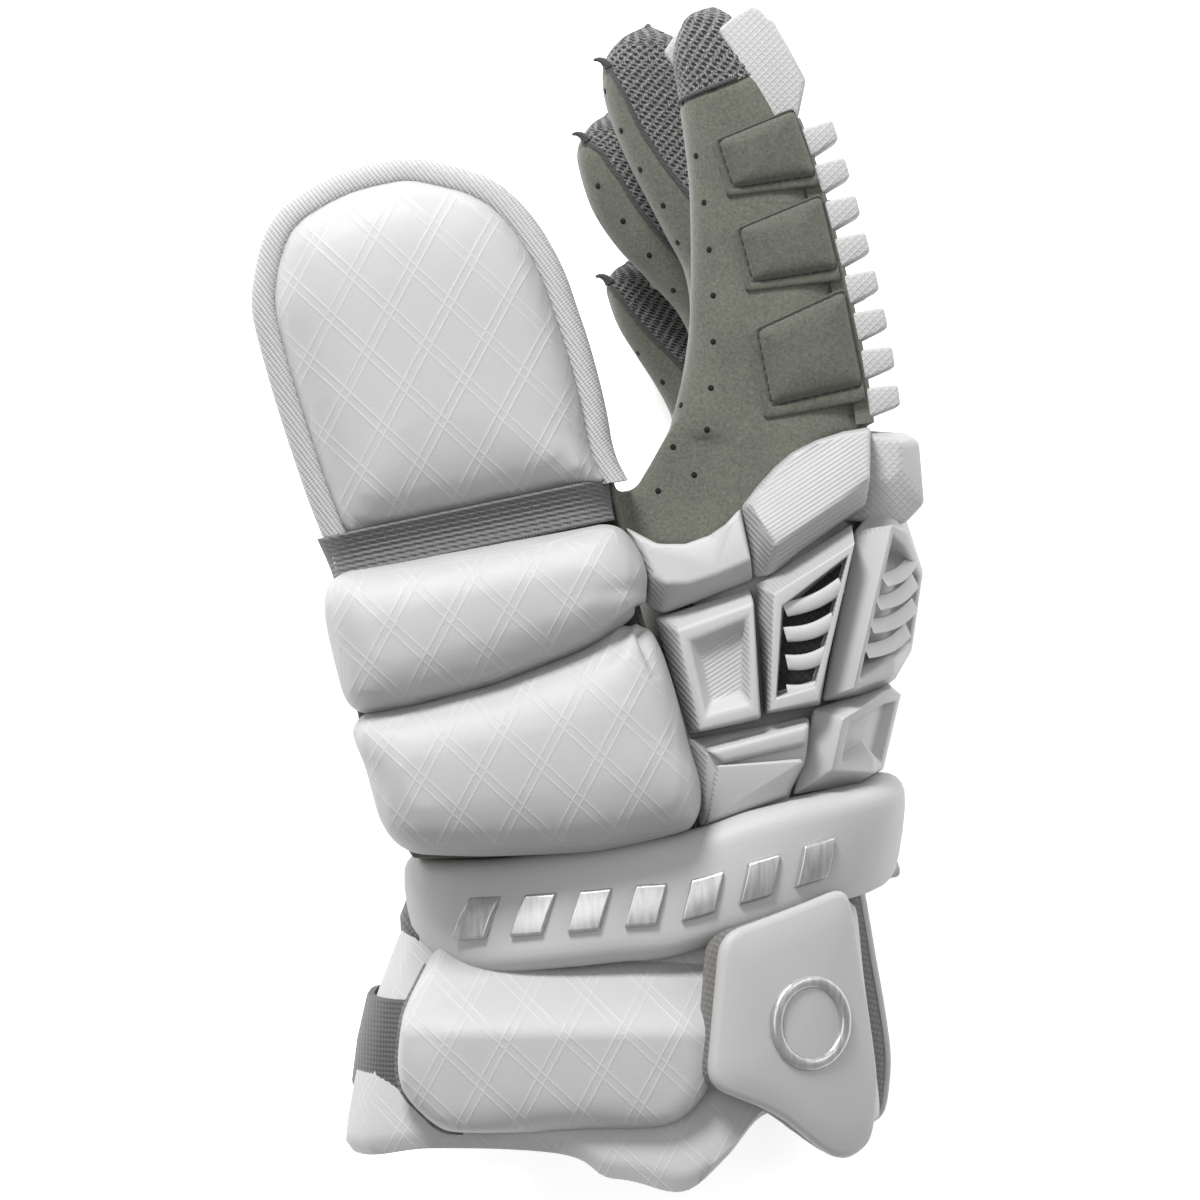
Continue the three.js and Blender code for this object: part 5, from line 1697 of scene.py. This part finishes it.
def flex_band():
    """A ribbed strip across the thumb, arched like the pads on each side of it."""
    stations = np.linspace(0, 1, 60)
    lines = []
    widths = np.linspace(-0.06, 1.06, 57)
    for share in widths:
        level = flex_low + share * FLEX_LENGTH
        left = np.interp(level + 2, thumb_rows[:, 0], thumb_rows[:, 1]) + 0.8
        right = np.interp(level + 18, thumb_rows[:, 0], thumb_rows[:, 2]) - 0.6
        x = left + (right - left) * stations
        y = slant(x, level)
        edge = np.clip(np.minimum(stations, 1 - stations) / 0.14, 0, 1)
        arch = 5.0 + 12.5 * np.sin(edge * math.pi / 2) ** 0.8
        rib = 0.3 * math.cos(2 * math.pi * share * FLEX_LENGTH / BAND_RIB)
        sag = -2.0 * math.sin(math.pi * min(max(share, 0), 1))
        lines.append(np.column_stack([x, y, RIM_Z + arch + rib + sag]))
    top = np.array(lines)
    under = top.copy()
    under[..., 2] = np.minimum(under[..., 2] - 3.0, RIM_Z + 8)
    return make("thumb_elastic", *shell(top, under), flex_tape)


wear(shade(flex_band(), 60), "webbing", "thumb_flex_band")

# %% [markdown]
# Three suede grips are sewn to the index finger's thumb side. Each is a thin padded patch with a
# flat hem on two sides, so the patch is crowned inside the stitch line and lies flat beyond it.

# %% Index grips
GRIPS = [
    [(0.465, 0.014), (0.975, 0.06), (0.862, 0.328), (0.38, 0.221)],
    [(0.372, 0.318), (0.85, 0.345), (0.745, 0.552), (0.292, 0.461)],
    [(0.278, 0.544), (0.745, 0.57), (0.61, 0.755), (0.19, 0.672)],
]
GRIP_BASE_Z = HAND_MID + 1.5 * FINGER_PITCH + FINGER_WIDTH / 2
HEM_LEFT = 0.1
HEM_LOW = 0.13
CROWN = [(0.0, 0.3), (0.03, 1.1), (0.09, 2.2), (0.2, 3.0), (0.36, 3.5), (0.6, 3.7), (0.95, 3.8)]


def on_index(points):
    return [(PALM_X + a * KNUCKLE_DEPTH, KNUCKLE_Y + b * FINGER_LENGTH["index"]) for a, b in points]


def inside_patch(corners, across, along):
    """A point of a four-sided patch: across from its left side, along from its lower side."""
    low_left, low_right, high_right, high_left = corners
    low = low_left + (low_right - low_left) * across
    return low + (high_left + (high_right - high_left) * across - low) * along


def grip(number, corners):
    corners = np.array(on_index(corners))
    sewn = np.array([inside_patch(corners, a, b)
                     for a, b in ((HEM_LEFT, HEM_LOW), (1.0, HEM_LOW), (1.0, 0.97), (HEM_LEFT, 0.97))])
    outline = smooth_outline(corners, 96, 1.0)
    seam = smooth_outline(sewn, 96, 1.6)
    centre = seam.mean(axis=0)
    rings = [np.column_stack([outline + (seam - outline) * share, np.full(96, GRIP_BASE_Z + up)])
             for share, up in ((0.0, -2.0), (0.0, 0.6), (0.12, 0.95), (0.5, 1.0), (0.85, 0.85))]
    rings += [np.column_stack([seam + (centre - seam) * share, np.full(96, GRIP_BASE_Z + up)])
              for share, up in CROWN]
    patch = make("index_grip_patch_%d" % number, *tube_solid(np.array(rings)), grip_suede)
    wear(shade(patch, 60), "grip", "index_grip_%d" % number)
    line = evenly(sewn[[2, 3, 0, 1]], 90)
    return np.column_stack([line, np.full(len(line), GRIP_BASE_Z + 0.62)])


grip_seams = [grip(k + 1, corners) for k, corners in enumerate(GRIPS)]

# %% [markdown]
# Sewing shows as rows of dashes, so the stitch tree sets a short thread at each step of a seam. The
# suede also has rows of small punched holes. A second tree sets one dark spot, painted shade for the
# inside of a hole, on each point of a mesh, turned by an attribute that says which way the suede
# faces there.

# %% Stitches and punched holes
STITCH_LONG = 2.2
STITCH_PITCH = 3.1
HOLE_RADIUS = 0.85
HOLES = {
    "palm_suede": [(22.8, 137.0), (26.4, 122.2), (28.6, 109.3), (30.0, 96.3), (31.1, 83.7),
        (31.1, 71.0), (30.5, 58.3), (29.4, 46.8), (25.9, 34.4), (20.1, 42.1), (16, 30), (22.3, 53.7)],
    "middle_suede": [(1.4, 142.2), (5.9, 131.0), (11.2, 120.1), (17.6, 110.0), (21.6, 99.7)],
    "ring_suede": [(-0.6, 117.0), (6.5, 107.0), (13.9, 97.4), (20.7, 87.5)],
    "pinky_suede": [(4.0, 80.0), (10.9, 70.8), (17.9, 62.5)],
}


def stitch_row(name, points, finish, slot, pitch=STITCH_PITCH):
    thread = shape_object(*box_points(STITCH_LONG, STITCH_LONG - 0.6, 0.75, 0.45, -0.5, 0.3), 0.12, 2)
    count = int(line_length(points) / pitch)
    row = repeat(name, stitch_tree, points, thread, count, pitch / 2, pitch, finish)
    drop(thread)
    return wear(row, slot)


def spot_tree():
    tree, given, result = new_tree("spots_on_a_surface", Points="Object", Shape="Object", Finish="Material")
    nodes = tree.nodes
    points, shape = nodes.new("GeometryNodeObjectInfo"), nodes.new("GeometryNodeObjectInfo")
    facing = nodes.new("GeometryNodeInputNamedAttribute")
    facing.data_type = "FLOAT_VECTOR"
    facing.inputs["Name"].default_value = "facing"
    turn = nodes.new("FunctionNodeAxesToRotation")
    turn.primary_axis, turn.secondary_axis = "Z", "X"
    turn.inputs["Secondary Axis"].default_value = (1, 0, 0)
    copies = nodes.new("GeometryNodeInstanceOnPoints")
    real = nodes.new("GeometryNodeRealizeInstances")
    finish = nodes.new("GeometryNodeSetMaterial")
    wire(
        tree, (given, "Points", points, "Object"), (given, "Shape", shape, "Object"),
        (facing, 0, turn, "Primary Axis"), (turn, 0, copies, "Rotation"),
        (points, "Geometry", copies, "Points"), (shape, "Geometry", copies, "Instance"),
        (copies, 0, real, 0), (real, 0, finish, "Geometry"),
        (given, "Finish", finish, "Material"), (finish, 0, result, 0),
    )
    return tree


def dropped(piece, places):
    """Places in XY, moved down to the first face of the piece, with the way it faces there."""
    work = bmesh.new()
    work.from_mesh(piece.data)
    faces = BVHTree.FromBMesh(work)
    work.free()
    found = [faces.ray_cast(Vector(to_frame([x, y, 200.0])), Vector((0, 0, -1))) for x, y in places]
    return [hit[0] for hit in found if hit[0]], [hit[1] for hit in found if hit[0]]


def punched_holes():
    mesh = bpy.data.meshes.new("places")
    hits, normals = [], []
    for name, places in HOLES.items():
        found = dropped(bpy.data.objects[name], places)
        hits += found[0]
        normals += found[1]
    mesh.from_pydata(hits, [], [])
    facing = mesh.attributes.new("facing", "FLOAT_VECTOR", "POINT")
    facing.data.foreach_set("vector", np.array(normals, float).ravel())
    places = in_scene("places", mesh)
    turns = np.linspace(0, 2 * math.pi, 17)[:-1]
    rim = [(HOLE_RADIUS * math.cos(t), HOLE_RADIUS * math.sin(t), z) for z in (-0.5, 0.07) for t in turns]
    faces = [tuple(range(15, -1, -1)), tuple(range(16, 32))]
    faces += [(k, (k + 1) % 16, (k + 1) % 16 + 16, k + 16) for k in range(16)]
    spot = shape_object(rim, faces)
    piece = run_tree("punched_holes", spot_tree(), Points=places, Shape=spot, Finish=hole_black.material)
    drop(places, spot)
    return wear(piece, "suede")


rim_seam = rim_line(6.1, PAD_LEVEL - 1.0, 400, TAPE_MORE)
rim_seam = np.column_stack([rim_seam, np.full(len(rim_seam), RIM_Z + 8.7)])
stitch_row("thumb_rim_stitches", rim_seam, grey_thread, "webbing")
for number, seam in enumerate(grip_seams):
    stitch_row("grip_stitches_%d" % (number + 1), seam, dark_thread, "grip", 2.9)
punched_holes()

# %% [markdown]
# A dark piping is sewn into each finger's seam. At the tip it runs out in a short tail that curls
# up, thinner towards its end. The same cord edges the hem of the index finger's cap.

# %% Piping
PIPE_RADIUS = 0.8
CAP_FROM, CAP_TO = 330, 1112  # steps of the fine ring where the cap's piping starts and ends
PIPE_STARTS = {"middle": 11.5, "ring": 7.5, "pinky": 6.0}
TAIL = [(-0.6, 0.9, 0.3), (-1.6, 1.8, 0.5), (-2.9, 2.2, 0.6), (-4.2, 2.0, 0.6)]


def cord_solid(name, line, radii, sides=8):
    line = np.asarray(line, float)
    tangent = np.gradient(line, axis=0)
    tangent /= np.linalg.norm(tangent, axis=1, keepdims=True)
    side = np.cross(tangent, (0, 0, 1))
    side /= np.linalg.norm(side, axis=1, keepdims=True)
    up = np.cross(side, tangent)
    turns = np.linspace(0, 2 * math.pi, sides + 1)[:-1]
    rings = [p + r * (np.cos(turns)[:, None] * s + np.sin(turns)[:, None] * u)
             for p, r, s, u in zip(line, radii, side, up)]
    return make(name, *tube_solid(np.array(rings)), piping_tape)


def finger_piping(name):
    shown = seams[name][:, 1] < fingers[name][-1][0] - PIPE_STARTS[name]
    seam = evenly(seams[name][shown], 90)
    mid = finger_mid(name)
    tail = spline(np.vstack([seam[-1:], seam[-1] + np.array(TAIL)]), 4)[1:]
    radii = np.concatenate([np.full(len(seam), PIPE_RADIUS), np.linspace(PIPE_RADIUS * 1.9, 0.35, len(tail))])
    near = cord_solid(name + "_piping", np.vstack([seam, tail]), radii)
    far_seam = seam.copy()
    far_seam[:, 2] = 2 * mid - far_seam[:, 2]
    join(near, cord_solid("far", far_seam, np.full(len(seam), PIPE_RADIUS)))
    wear(near, "webbing")


for name in seams:
    finger_piping(name)


def cap_piping():
    """A line round the index finger's palm side, where its tube meets the slanting hem."""
    line = []
    for k in range(CAP_FROM, CAP_TO, 12):
        rings_x = np.array([(row[1] + row[2]) / 2 + (row[2] - row[1]) / 2 * UNIT_X[k] for row in index_rows])
        rings_z = np.array([(row[3] + row[4]) / 2 + (row[4] - row[3]) / 2 * UNIT_Z[k] for row in index_rows])
        above = index_rows[:, 0] - cap_line(rings_x)
        at = np.interp(0.0, above, np.arange(len(above)))
        line.append([np.interp(at, np.arange(len(above)), v) for v in (rings_x, index_rows[:, 0], rings_z)])
    wear(cord_solid("index_cap_piping", line, np.full(len(line), 0.65)), "webbing")


cap_piping()

# %% [markdown]
# The forearm end is a sleeve that flares, with a thick band strapped round the wrist above it. All
# of these follow the arm's sections, so one helper makes a wall on the arm: its edges are given for
# each turn round the arm, and its section in steps across the wall and out from the arm.

# %% Helpers for walls round the arm
EVEN_STEPS = 260
SLIDE_STEP = 0.4


def even_turns(start, end, count):
    """Turns in degrees that lie at equal distances on a typical arm section."""
    ring = full_ring((0, -46, 72, 12, 118))
    reached = distances(ring)
    degrees = np.degrees(SWEEP)
    low, high = np.interp([start % 360, end % 360 or 360], degrees, reached)
    low -= reached[-1] if start < 0 else 0
    at = np.linspace(low, high, count)
    return np.interp(np.mod(at, reached[-1]), reached, degrees)


def folded(turn):
    """The same turn counted from the back of the hand, either way round."""
    return abs((turn + 180) % 360 - 180)


def table_at(table, turn):
    """The smooth value of a table at a turn round the arm."""
    knots = spline(table, 8)
    return float(np.interp(folded(turn), knots[:, 0], knots[:, 1]))


def arm_section(y):
    """The arm's left, right, low and high at a place along it."""
    return [np.interp(y, arm_rows[:, 0], arm_rows[:, k]) for k in (1, 2, 3, 4)]


def arm_point(turn, y, lift):
    left, right, low, high = arm_section(y)
    angle = math.radians(turn)
    cos, sin = math.cos(angle), math.sin(angle)
    power = 2 / SECTION_POWER
    x = (left + right) / 2 + ((right - left) / 2 + lift) * math.copysign(abs(cos) ** power, cos)
    z = (low + high) / 2 + ((high - low) / 2 + lift) * math.copysign(abs(sin) ** power, sin)
    return (x, y, max(z, 0.0))


def arm_wall(name, turns, edges, section, material, closed=False, bulge=0.0):
    """A bulge is how much further out the wall stands on the palm side than on the back."""
    rings = []
    for turn in turns:
        low, high = edges(turn)
        more = bulge * min(max((folded(turn) - 110) / 40, 0.0), 1.0)
        rings.append([arm_point(turn, low + (high - low) * across, lift + more * (1 + 0.8 * across))
                      for across, lift in section])
    rings = np.array(rings)
    points, faces = tube_solid(rings)
    if closed:
        faces = hoop_faces(*rings.shape[:2])
    return shade(make(name, points, faces, material), 50)


def inside_arm(points, lift):
    """Which points lie nearer the arm's middle than its surface, moved out by a lift."""
    left, right, low, high = arm_section(points[:, 1])
    x = (points[:, 0] - (left + right) / 2) / ((right - left) / 2 + lift)
    z = (points[:, 2] - (low + high) / 2) / ((high - low) / 2 + lift)
    return np.abs(x) ** SECTION_POWER + np.abs(z) ** SECTION_POWER < 1


def moved_out(points, direction, lift=3.0):
    """Points inside the sleeve slide along a direction until they lie on it, and none under the floor."""
    points = np.array(points, float)
    for _ in range(200):
        inside = inside_arm(points, lift)
        if not inside.any():
            break
        points[inside] += np.array(direction) * SLIDE_STEP
    points[:, 2] = np.maximum(points[:, 2], 0.0)
    return points


# %% [markdown]
# The wrist band is a smooth foam bar under plain leather, about twice as thick as a finger rib. It
# dips towards the palm, so its middle line is a table over the turn round the wrist. The silver
# bars that stand on it are plain, and set at equal steps.

# %% Wrist band
BAND_TABLE = [
    (0, 0.45), (27, 0.39), (52, 0.29), (77, 0.04), (90, -0.16), (104, -0.24), (128, -0.29), (150, -0.25),
    (180, -0.16),
]
BAND_WIDER = [
    (0, 0), (48, 0.3), (58, 1.6), (68, 3.2), (80, 4.2), (92, 4), (104, 2.6), (120, 0.8), (140, 0),
]
BAND_FOOT = 3.2
BAND_TURN = 160.0
BAND_END = 6.0
BAND_LEAN = 0.7
CORNER_STEPS = 5
BAR_COUNT = 7
BAR_FROM = -29.0
BAR_PITCH = 14.3
BAR_LONG = 11.5
BAR_WIDE = 8.0


def band_middle(turn):
    return WRIST_Y + BAND_WIDTH * table_at(BAND_TABLE, turn)


def band_edges(turn):
    """The band is a little wider where it meets the thumb's pads."""
    wider = float(np.interp(folded(turn), *zip(*BAND_WIDER)))
    return band_middle(turn) - BAND_WIDTH / 2, band_middle(turn) + BAND_WIDTH / 2 + wider


def rounded_section(low, high, corner):
    """Out from the low edge, over a rounded back and in again, then closed underneath."""
    section = [(0.0, low)]
    for k in range(CORNER_STEPS + 1):
        angle = math.pi / 2 * k / CORNER_STEPS
        section.append((corner * (1 - math.cos(angle)) / BAND_WIDTH, high - corner * (1 - math.sin(angle))))
    section += [(0.3, high + 0.4), (0.5, high + 0.6), (0.7, high + 0.4)]
    section += [(1 - across, lift) for across, lift in reversed(section[1:CORNER_STEPS + 2])]
    section += [(1.0, low), (0.66, low), (0.33, low)]
    return section


def band_wall():
    """The bar ends on the palm side in two rounded ends, like a bolster's."""
    section = np.array(rounded_section(BAND_FOOT - 0.4, BAND_FOOT + BAND_THICK, 6.5))
    turns = even_turns(-BAND_TURN, BAND_TURN, EVEN_STEPS)
    rings = []
    for turn in turns:
        low, high = band_edges(turn)
        end = min(1.0, (BAND_TURN - abs(turn)) / BAND_END)
        full = math.sqrt(max(1 - (1 - end) ** 2, 0.0))
        lifts = section[:, 1] * (0.6 + 0.4 * full) if end < 1 else section[:, 1]
        across = 0.5 + (section[:, 0] - 0.5) * (0.92 + 0.08 * full)
        lean = BAND_LEAN * (high - low) * min(max((abs(turn) - 100) / 40, 0.0), 1.0)
        ring = np.array([arm_point(turn, low + (high - low) * a, lift) for a, lift in zip(across, lifts)])
        ring[:, 0] -= lean * (across - 0.5)
        rings.append(ring)
    return shade(make("wrist_bar", *tube_solid(np.array(rings)), leather), 50)


wear(band_wall(), "leather", "wrist_band")


def turn_at(x):
    """The turn, on the thumb side, at a distance across the wrist."""
    left, right = arm_section(WRIST_Y)[:2]
    half = (right - left) / 2 + BAND_FOOT + BAND_THICK
    share = (x - (left + right) / 2) / half
    return math.degrees(math.acos(math.copysign(min(abs(share), 1) ** (SECTION_POWER / 2), share)))


def bar_edges(turn):
    return band_middle(turn) - BAR_LONG / 2, band_middle(turn) + BAR_LONG / 2


def silver_bars():
    pieces = []
    top = BAND_FOOT + BAND_THICK + 0.4
    section = [(0, top - 1.5), (0, top + 0.9), (0.05, top + 1.5), (0.5, top + 1.9), (0.95, top + 1.5),
               (1, top + 0.9), (1, top - 1.5)]
    for k in range(BAR_COUNT):
        x = BAR_FROM + k * BAR_PITCH
        turns = [turn_at(x + BAR_WIDE * share) for share in (-0.5, -0.44, -0.2, 0.0, 0.2, 0.44, 0.5)]
        pieces.append(arm_wall("bar", turns, bar_edges, section, silver))
    return pieces


bars = silver_bars()
join_uv(*bars)
rename(bars[0], "wrist_band_bars")
soften(bars[0], 0.5, 40, 2)
wear(shade(bars[0], 40), "silver", *["band_stud_%d" % k for k in range(1, 8)])

# %% [markdown]
# Inside the band and the sleeve the glove is lined: a dark mesh at the wrist and an olive knit in
# the cuff. The sleeve's outside is the same embossed leather as its pads, and its hem waves.

# %% Sleeve and liners
HEM_TABLE = [
    (0, 0.84), (30, 0.82), (50, 0.775), (65, 0.76), (75, 0.9), (83, 1.01), (90, 0.97), (97, 0.885),
    (126, 0.875), (150, 0.91), (180, 0.91),
]
SLEEVE_TURN = 166.0
SLEEVE_BULGE = 4.0


def hem(turn):
    return WRIST_Y - CUFF_LENGTH * table_at(HEM_TABLE, turn)


def sleeve_edges(turn):
    return hem(turn), WRIST_Y - 6.0


ACROSS = np.linspace(0, 1, 25)
sleeve_turns = even_turns(-SLEEVE_TURN, SLEEVE_TURN, 200)
outside = [(a, GAP + 1.2 + 3.0 * (1 - abs(2 * a - 1) ** 14) ** 0.5) for a in ACROSS]
outside += [(a, GAP + 1.2) for a in ACROSS[::-1]]
inside = [(a * 0.985 + 0.006, GAP + 1.1) for a in ACROSS] + [(a * 0.985 + 0.006, GAP) for a in ACROSS[::-1]]
for name, section, finish, slot in (("cuff_outside", outside, lattice, "leather"),
                                    ("cuff_lining", inside, lining_knit, "lining")):
    wall = arm_wall(name, sleeve_turns, sleeve_edges, section, finish, bulge=SLEEVE_BULGE)
    wear(wall, slot, "cuff_sleeve")


def liner_edges(turn):
    return WRIST_Y - 26.0, WRIST_Y - 6.3


wear(arm_wall("wrist_mesh_liner", even_turns(0, 360, 161)[:-1], liner_edges,
              [(0, -2.4), (0, 0), (0.5, 0.1), (1, 0), (1, -2.4), (0.5, -2.4)], liner_mesh, closed=True),
     "lining", "wrist_liner")


def stretch_edges(turn):
    return band_middle(turn) - 9.0, band_middle(turn) + 11.0


STRETCH_SECTION = [(0, 8.0), (0, 10.5), (0.2, 12.6), (0.5, 13.4), (0.8, 12.6), (1, 10.5), (1, 8.0),
                   (0.5, 8.4)]
wear(arm_wall("wrist_stretch_mesh", even_turns(148, 212, 70), stretch_edges, STRETCH_SECTION, liner_mesh),
     "lining", "wrist_liner")

# %% [markdown]
# A strap closes the cuff on the palm side. It is flat webbing, which the cloth remesh would erase,
# so it is modelled directly, with its end folded back on itself into a loop.

# %% Cuff strap
STRAP_LOW = WRIST_Y - 57.0
STRAP_HIGH = WRIST_Y - 32.0
LOOP_TURN = 122.0
LOOP_HALF = 7.0


def strap_edges(turn):
    return STRAP_LOW, STRAP_HIGH


flat_strap = [(0, 0.3), (0, 1.9), (0.03, 2.2), (0.5, 2.3), (0.97, 2.2), (1, 1.9), (1, 0.3), (0.5, 0.3)]
strap_section = [(across, lift + 2.8) for across, lift in flat_strap]
strap = arm_wall("cuff_strap", even_turns(124, 236, 60), strap_edges, strap_section, strap_web,
                 bulge=SLEEVE_BULGE)
loop_line = [(LOOP_TURN + LOOP_HALF * math.sin(angle / 2), 8.2 - 2.6 * math.cos(angle))
             for angle in np.linspace(-math.pi, math.pi, 31)]
loop_section = ((STRAP_LOW, -0.9), (STRAP_LOW, 0.9), ((STRAP_LOW + STRAP_HIGH) / 2, 1.0), (STRAP_HIGH, 0.9),
                (STRAP_HIGH, -0.9))
loop_rings = [[arm_point(turn, y, lift + out) for y, out in loop_section] for turn, lift in loop_line]
loop = make("loop", *tube_solid(np.array(loop_rings)), strap_web)
join_uv(strap, shade(loop, 50))
rename(strap, "cuff_webbing")
wear(strap, "webbing", "cuff_strap")

# %% [markdown]
# The cuff's two side pads are filled like the thumb's, so they are made the same way, each with a
# thin knit trim round its foot. The flaps over its back are firm shields: thin foam under smooth
# leather, lined with the olive knit that shows along their edge.

# %% Cuff pads and flaps
CUFF_MID = HAND_MID + 6.0
CUFF_HALF = 57.0
CUFF_PAD_THICK = 11.0
FLAP_THICK = 8.0
FLAP_TURN = 32.0
FLAP_WIDTH = 52.0
FLAP_ACROSS = 0.6
FLAP_RISE = -3.0
FAR_FLAP_OUT = 8.0
TRIM_SHOWS = 0.8
PAD_DIVE = 24.0
CUFF_PAD = [
    (-1.1, 0.15), (-1.31, 0.42), (-1.34, 0.6), (-1.315, 0.68), (-1.13, 0.8), (-0.9, 0.8), (-0.43, 0.785),
    (-0.02, 0.785), (0.11, 0.72), (0.19, 0.635), (0.225, 0.42), (0.215, 0.13), (-0.25, 0.15),
    (-0.75, 0.16),
]
FLAP = [
    (-0.49, 0.15), (-0.565, 0.65), (-0.165, 0.75), (0.036, 0.846), (0.147, 0.893), (0.258, 0.913),
    (0.37, 0.887), (0.45, 0.846), (0.487, 0.665), (0.437, 0.485), (0.37, 0.302), (0.27, 0),
]
CUSHION = [
    (0, -2.6), (0, -1.2), (0, 0.1), (0, 0.45), (0.02, 0.7), (0.05, 0.86), (0.12, 0.96),
    (0.35, 1), (0.7, 1),
]


def under_band(points):
    """The upper end of a pad is let down, so that it runs in under the wrist band."""
    points = np.array(points, float)
    share = np.clip((points[:, 1] - WRIST_Y + 0.5 * CUFF_LENGTH) / (0.34 * CUFF_LENGTH), 0, 1)
    points[:, 2] -= PAD_DIVE * share * share * (3 - 2 * share)
    return points


def cuff_pad(side, flip):
    corners = [(PALM_X + a * KNUCKLE_DEPTH, WRIST_Y - b * CUFF_LENGTH) for a, b in CUFF_PAD]
    outline = grown(smooth_outline(corners, 140, 3.0), PAD_GROW)
    base = CUFF_MID + CUFF_HALF
    pad = pillow("cuff_pad", outline, [(-28, -116), (10, -116)], base, CUFF_PAD_THICK, CUSHION)
    pad_from(pad, "cuff_pad_" + side, base - 10, 3)
    points = under_band(read_points(pad))
    if flip:
        points[:, 2] = 2 * CUFF_MID - points[:, 2]
        pad.data.flip_normals()
    write_points(pad, moved_out(points, (0, 0, -1 if flip else 1), 1.6))
    node = "cuff_ulnar_panel" if flip else "cuff_radial_panel"
    wear(pad, "leather", node)
    trim = grown(outline, TRIM_SHOWS)
    inner = grown(outline, -6.0)
    rings = [np.column_stack([ring, np.full(len(ring), base + up)])
             for ring, up in ((inner, -1.6), (trim, -1.6), (trim, -0.4), (inner, -0.2))]
    points, faces = tube_solid(np.array(rings))
    points = under_band(points)
    if flip:
        points, faces = mirrored(points, faces, CUFF_MID)
    points = moved_out(points, (0, 0, -1 if flip else 1), 1.4)
    wear(shade(make("cuff_pad_trim_" + side, points, faces, lining_knit), 50), "lining", node)


def turned_face(points, flip=False):
    """Points of the flap's own face, placed on the turned back of the cuff."""
    points = np.asarray(points, float)
    angle = math.radians(FLAP_TURN)
    x = points[:, 0] * math.cos(angle) + points[:, 2] * math.sin(angle) + PALM_X + FLAP_ACROSS * KNUCKLE_DEPTH
    z = -points[:, 0] * math.sin(angle) + points[:, 2] * math.cos(angle) + CUFF_MID + CUFF_HALF + FLAP_RISE
    if flip:
        x, z = x + FAR_FLAP_OUT, 2 * CUFF_MID - z
    return np.stack([x, points[:, 1], z], axis=1)


def flap_layer(name, steps, flip, material, grow=0.0):
    """A layer of a flap from its steps: a share in from the edge, and a height from the flap's face."""
    outline = smooth_outline([(a * FLAP_WIDTH, WRIST_Y - b * CUFF_LENGTH) for a, b in FLAP], 150, 6.0)
    centre = outline.mean(axis=0)
    outline = outline + (outline - centre) / np.linalg.norm(outline - centre, axis=1, keepdims=True) * grow
    rings = []
    for inward, up in steps:
        ring = outline + (centre - outline) * inward
        sag = -0.006 * np.abs(ring[:, 0]) ** 1.9
        rings.append(np.column_stack([ring, FLAP_THICK + up + sag]))
    points, faces = tube_solid(np.array(rings))
    angle = math.radians(FLAP_TURN)
    out = (math.sin(angle), 0, math.cos(angle) * (-1 if flip else 1))
    return shade(make(name, moved_out(turned_face(points, flip), out), faces, material), 45)


FLAP_STEPS = [
    (0.02, -3.4), (0, -2.6), (0, -1.2), (0.02, -0.3), (0.06, 0.2), (0.3, 1), (0.7, 1.5), (0.95, 1.6),
]
LINING_STEPS = [(0.05, -12), (0.02, -11), (0, -5.6), (0, -3.6), (0.04, -3.3), (0.9, -3.3)]
for side, flip in SIDES:
    cuff_pad(side, flip)
    flap_node = "cuff_ulnar_flap" if flip else "cuff_dorsal_flap"
    wear(flap_layer("cuff_flap_" + side, FLAP_STEPS, flip, leather), "leather", flap_node)
    wear(flap_layer("cuff_flap_lining_" + side, LINING_STEPS, flip, lining_knit, -0.8), "lining", flap_node)

# %% [markdown]
# A plain silver ring is set on the flap. It is turned from a small rounded section.

# %% Flap ring
RING_Y = WRIST_Y - 0.45 * CUFF_LENGTH
RING_RADIUS = 11.25
RING_SECTION = [
    (-1.75, -0.5), (-1.75, 0.9), (-1.3, 1.5), (-0.6, 1.8), (0.6, 1.8), (1.3, 1.5), (1.75, 0.9),
    (1.75, -0.5),
]
RING_SIDES = 72
ring_points = []
for k in range(RING_SIDES):
    angle = 2 * math.pi * k / RING_SIDES
    for out, up in RING_SECTION:
        r = RING_RADIUS + out
        ring_points.append((r * math.cos(angle), RING_Y + r * math.sin(angle), FLAP_THICK + 0.6 + up))
ring = make("cuff_flap_ring", turned_face(ring_points), hoop_faces(RING_SIDES, len(RING_SECTION)), silver)
wear(shade(ring, 40), "silver", "cuff_ring")
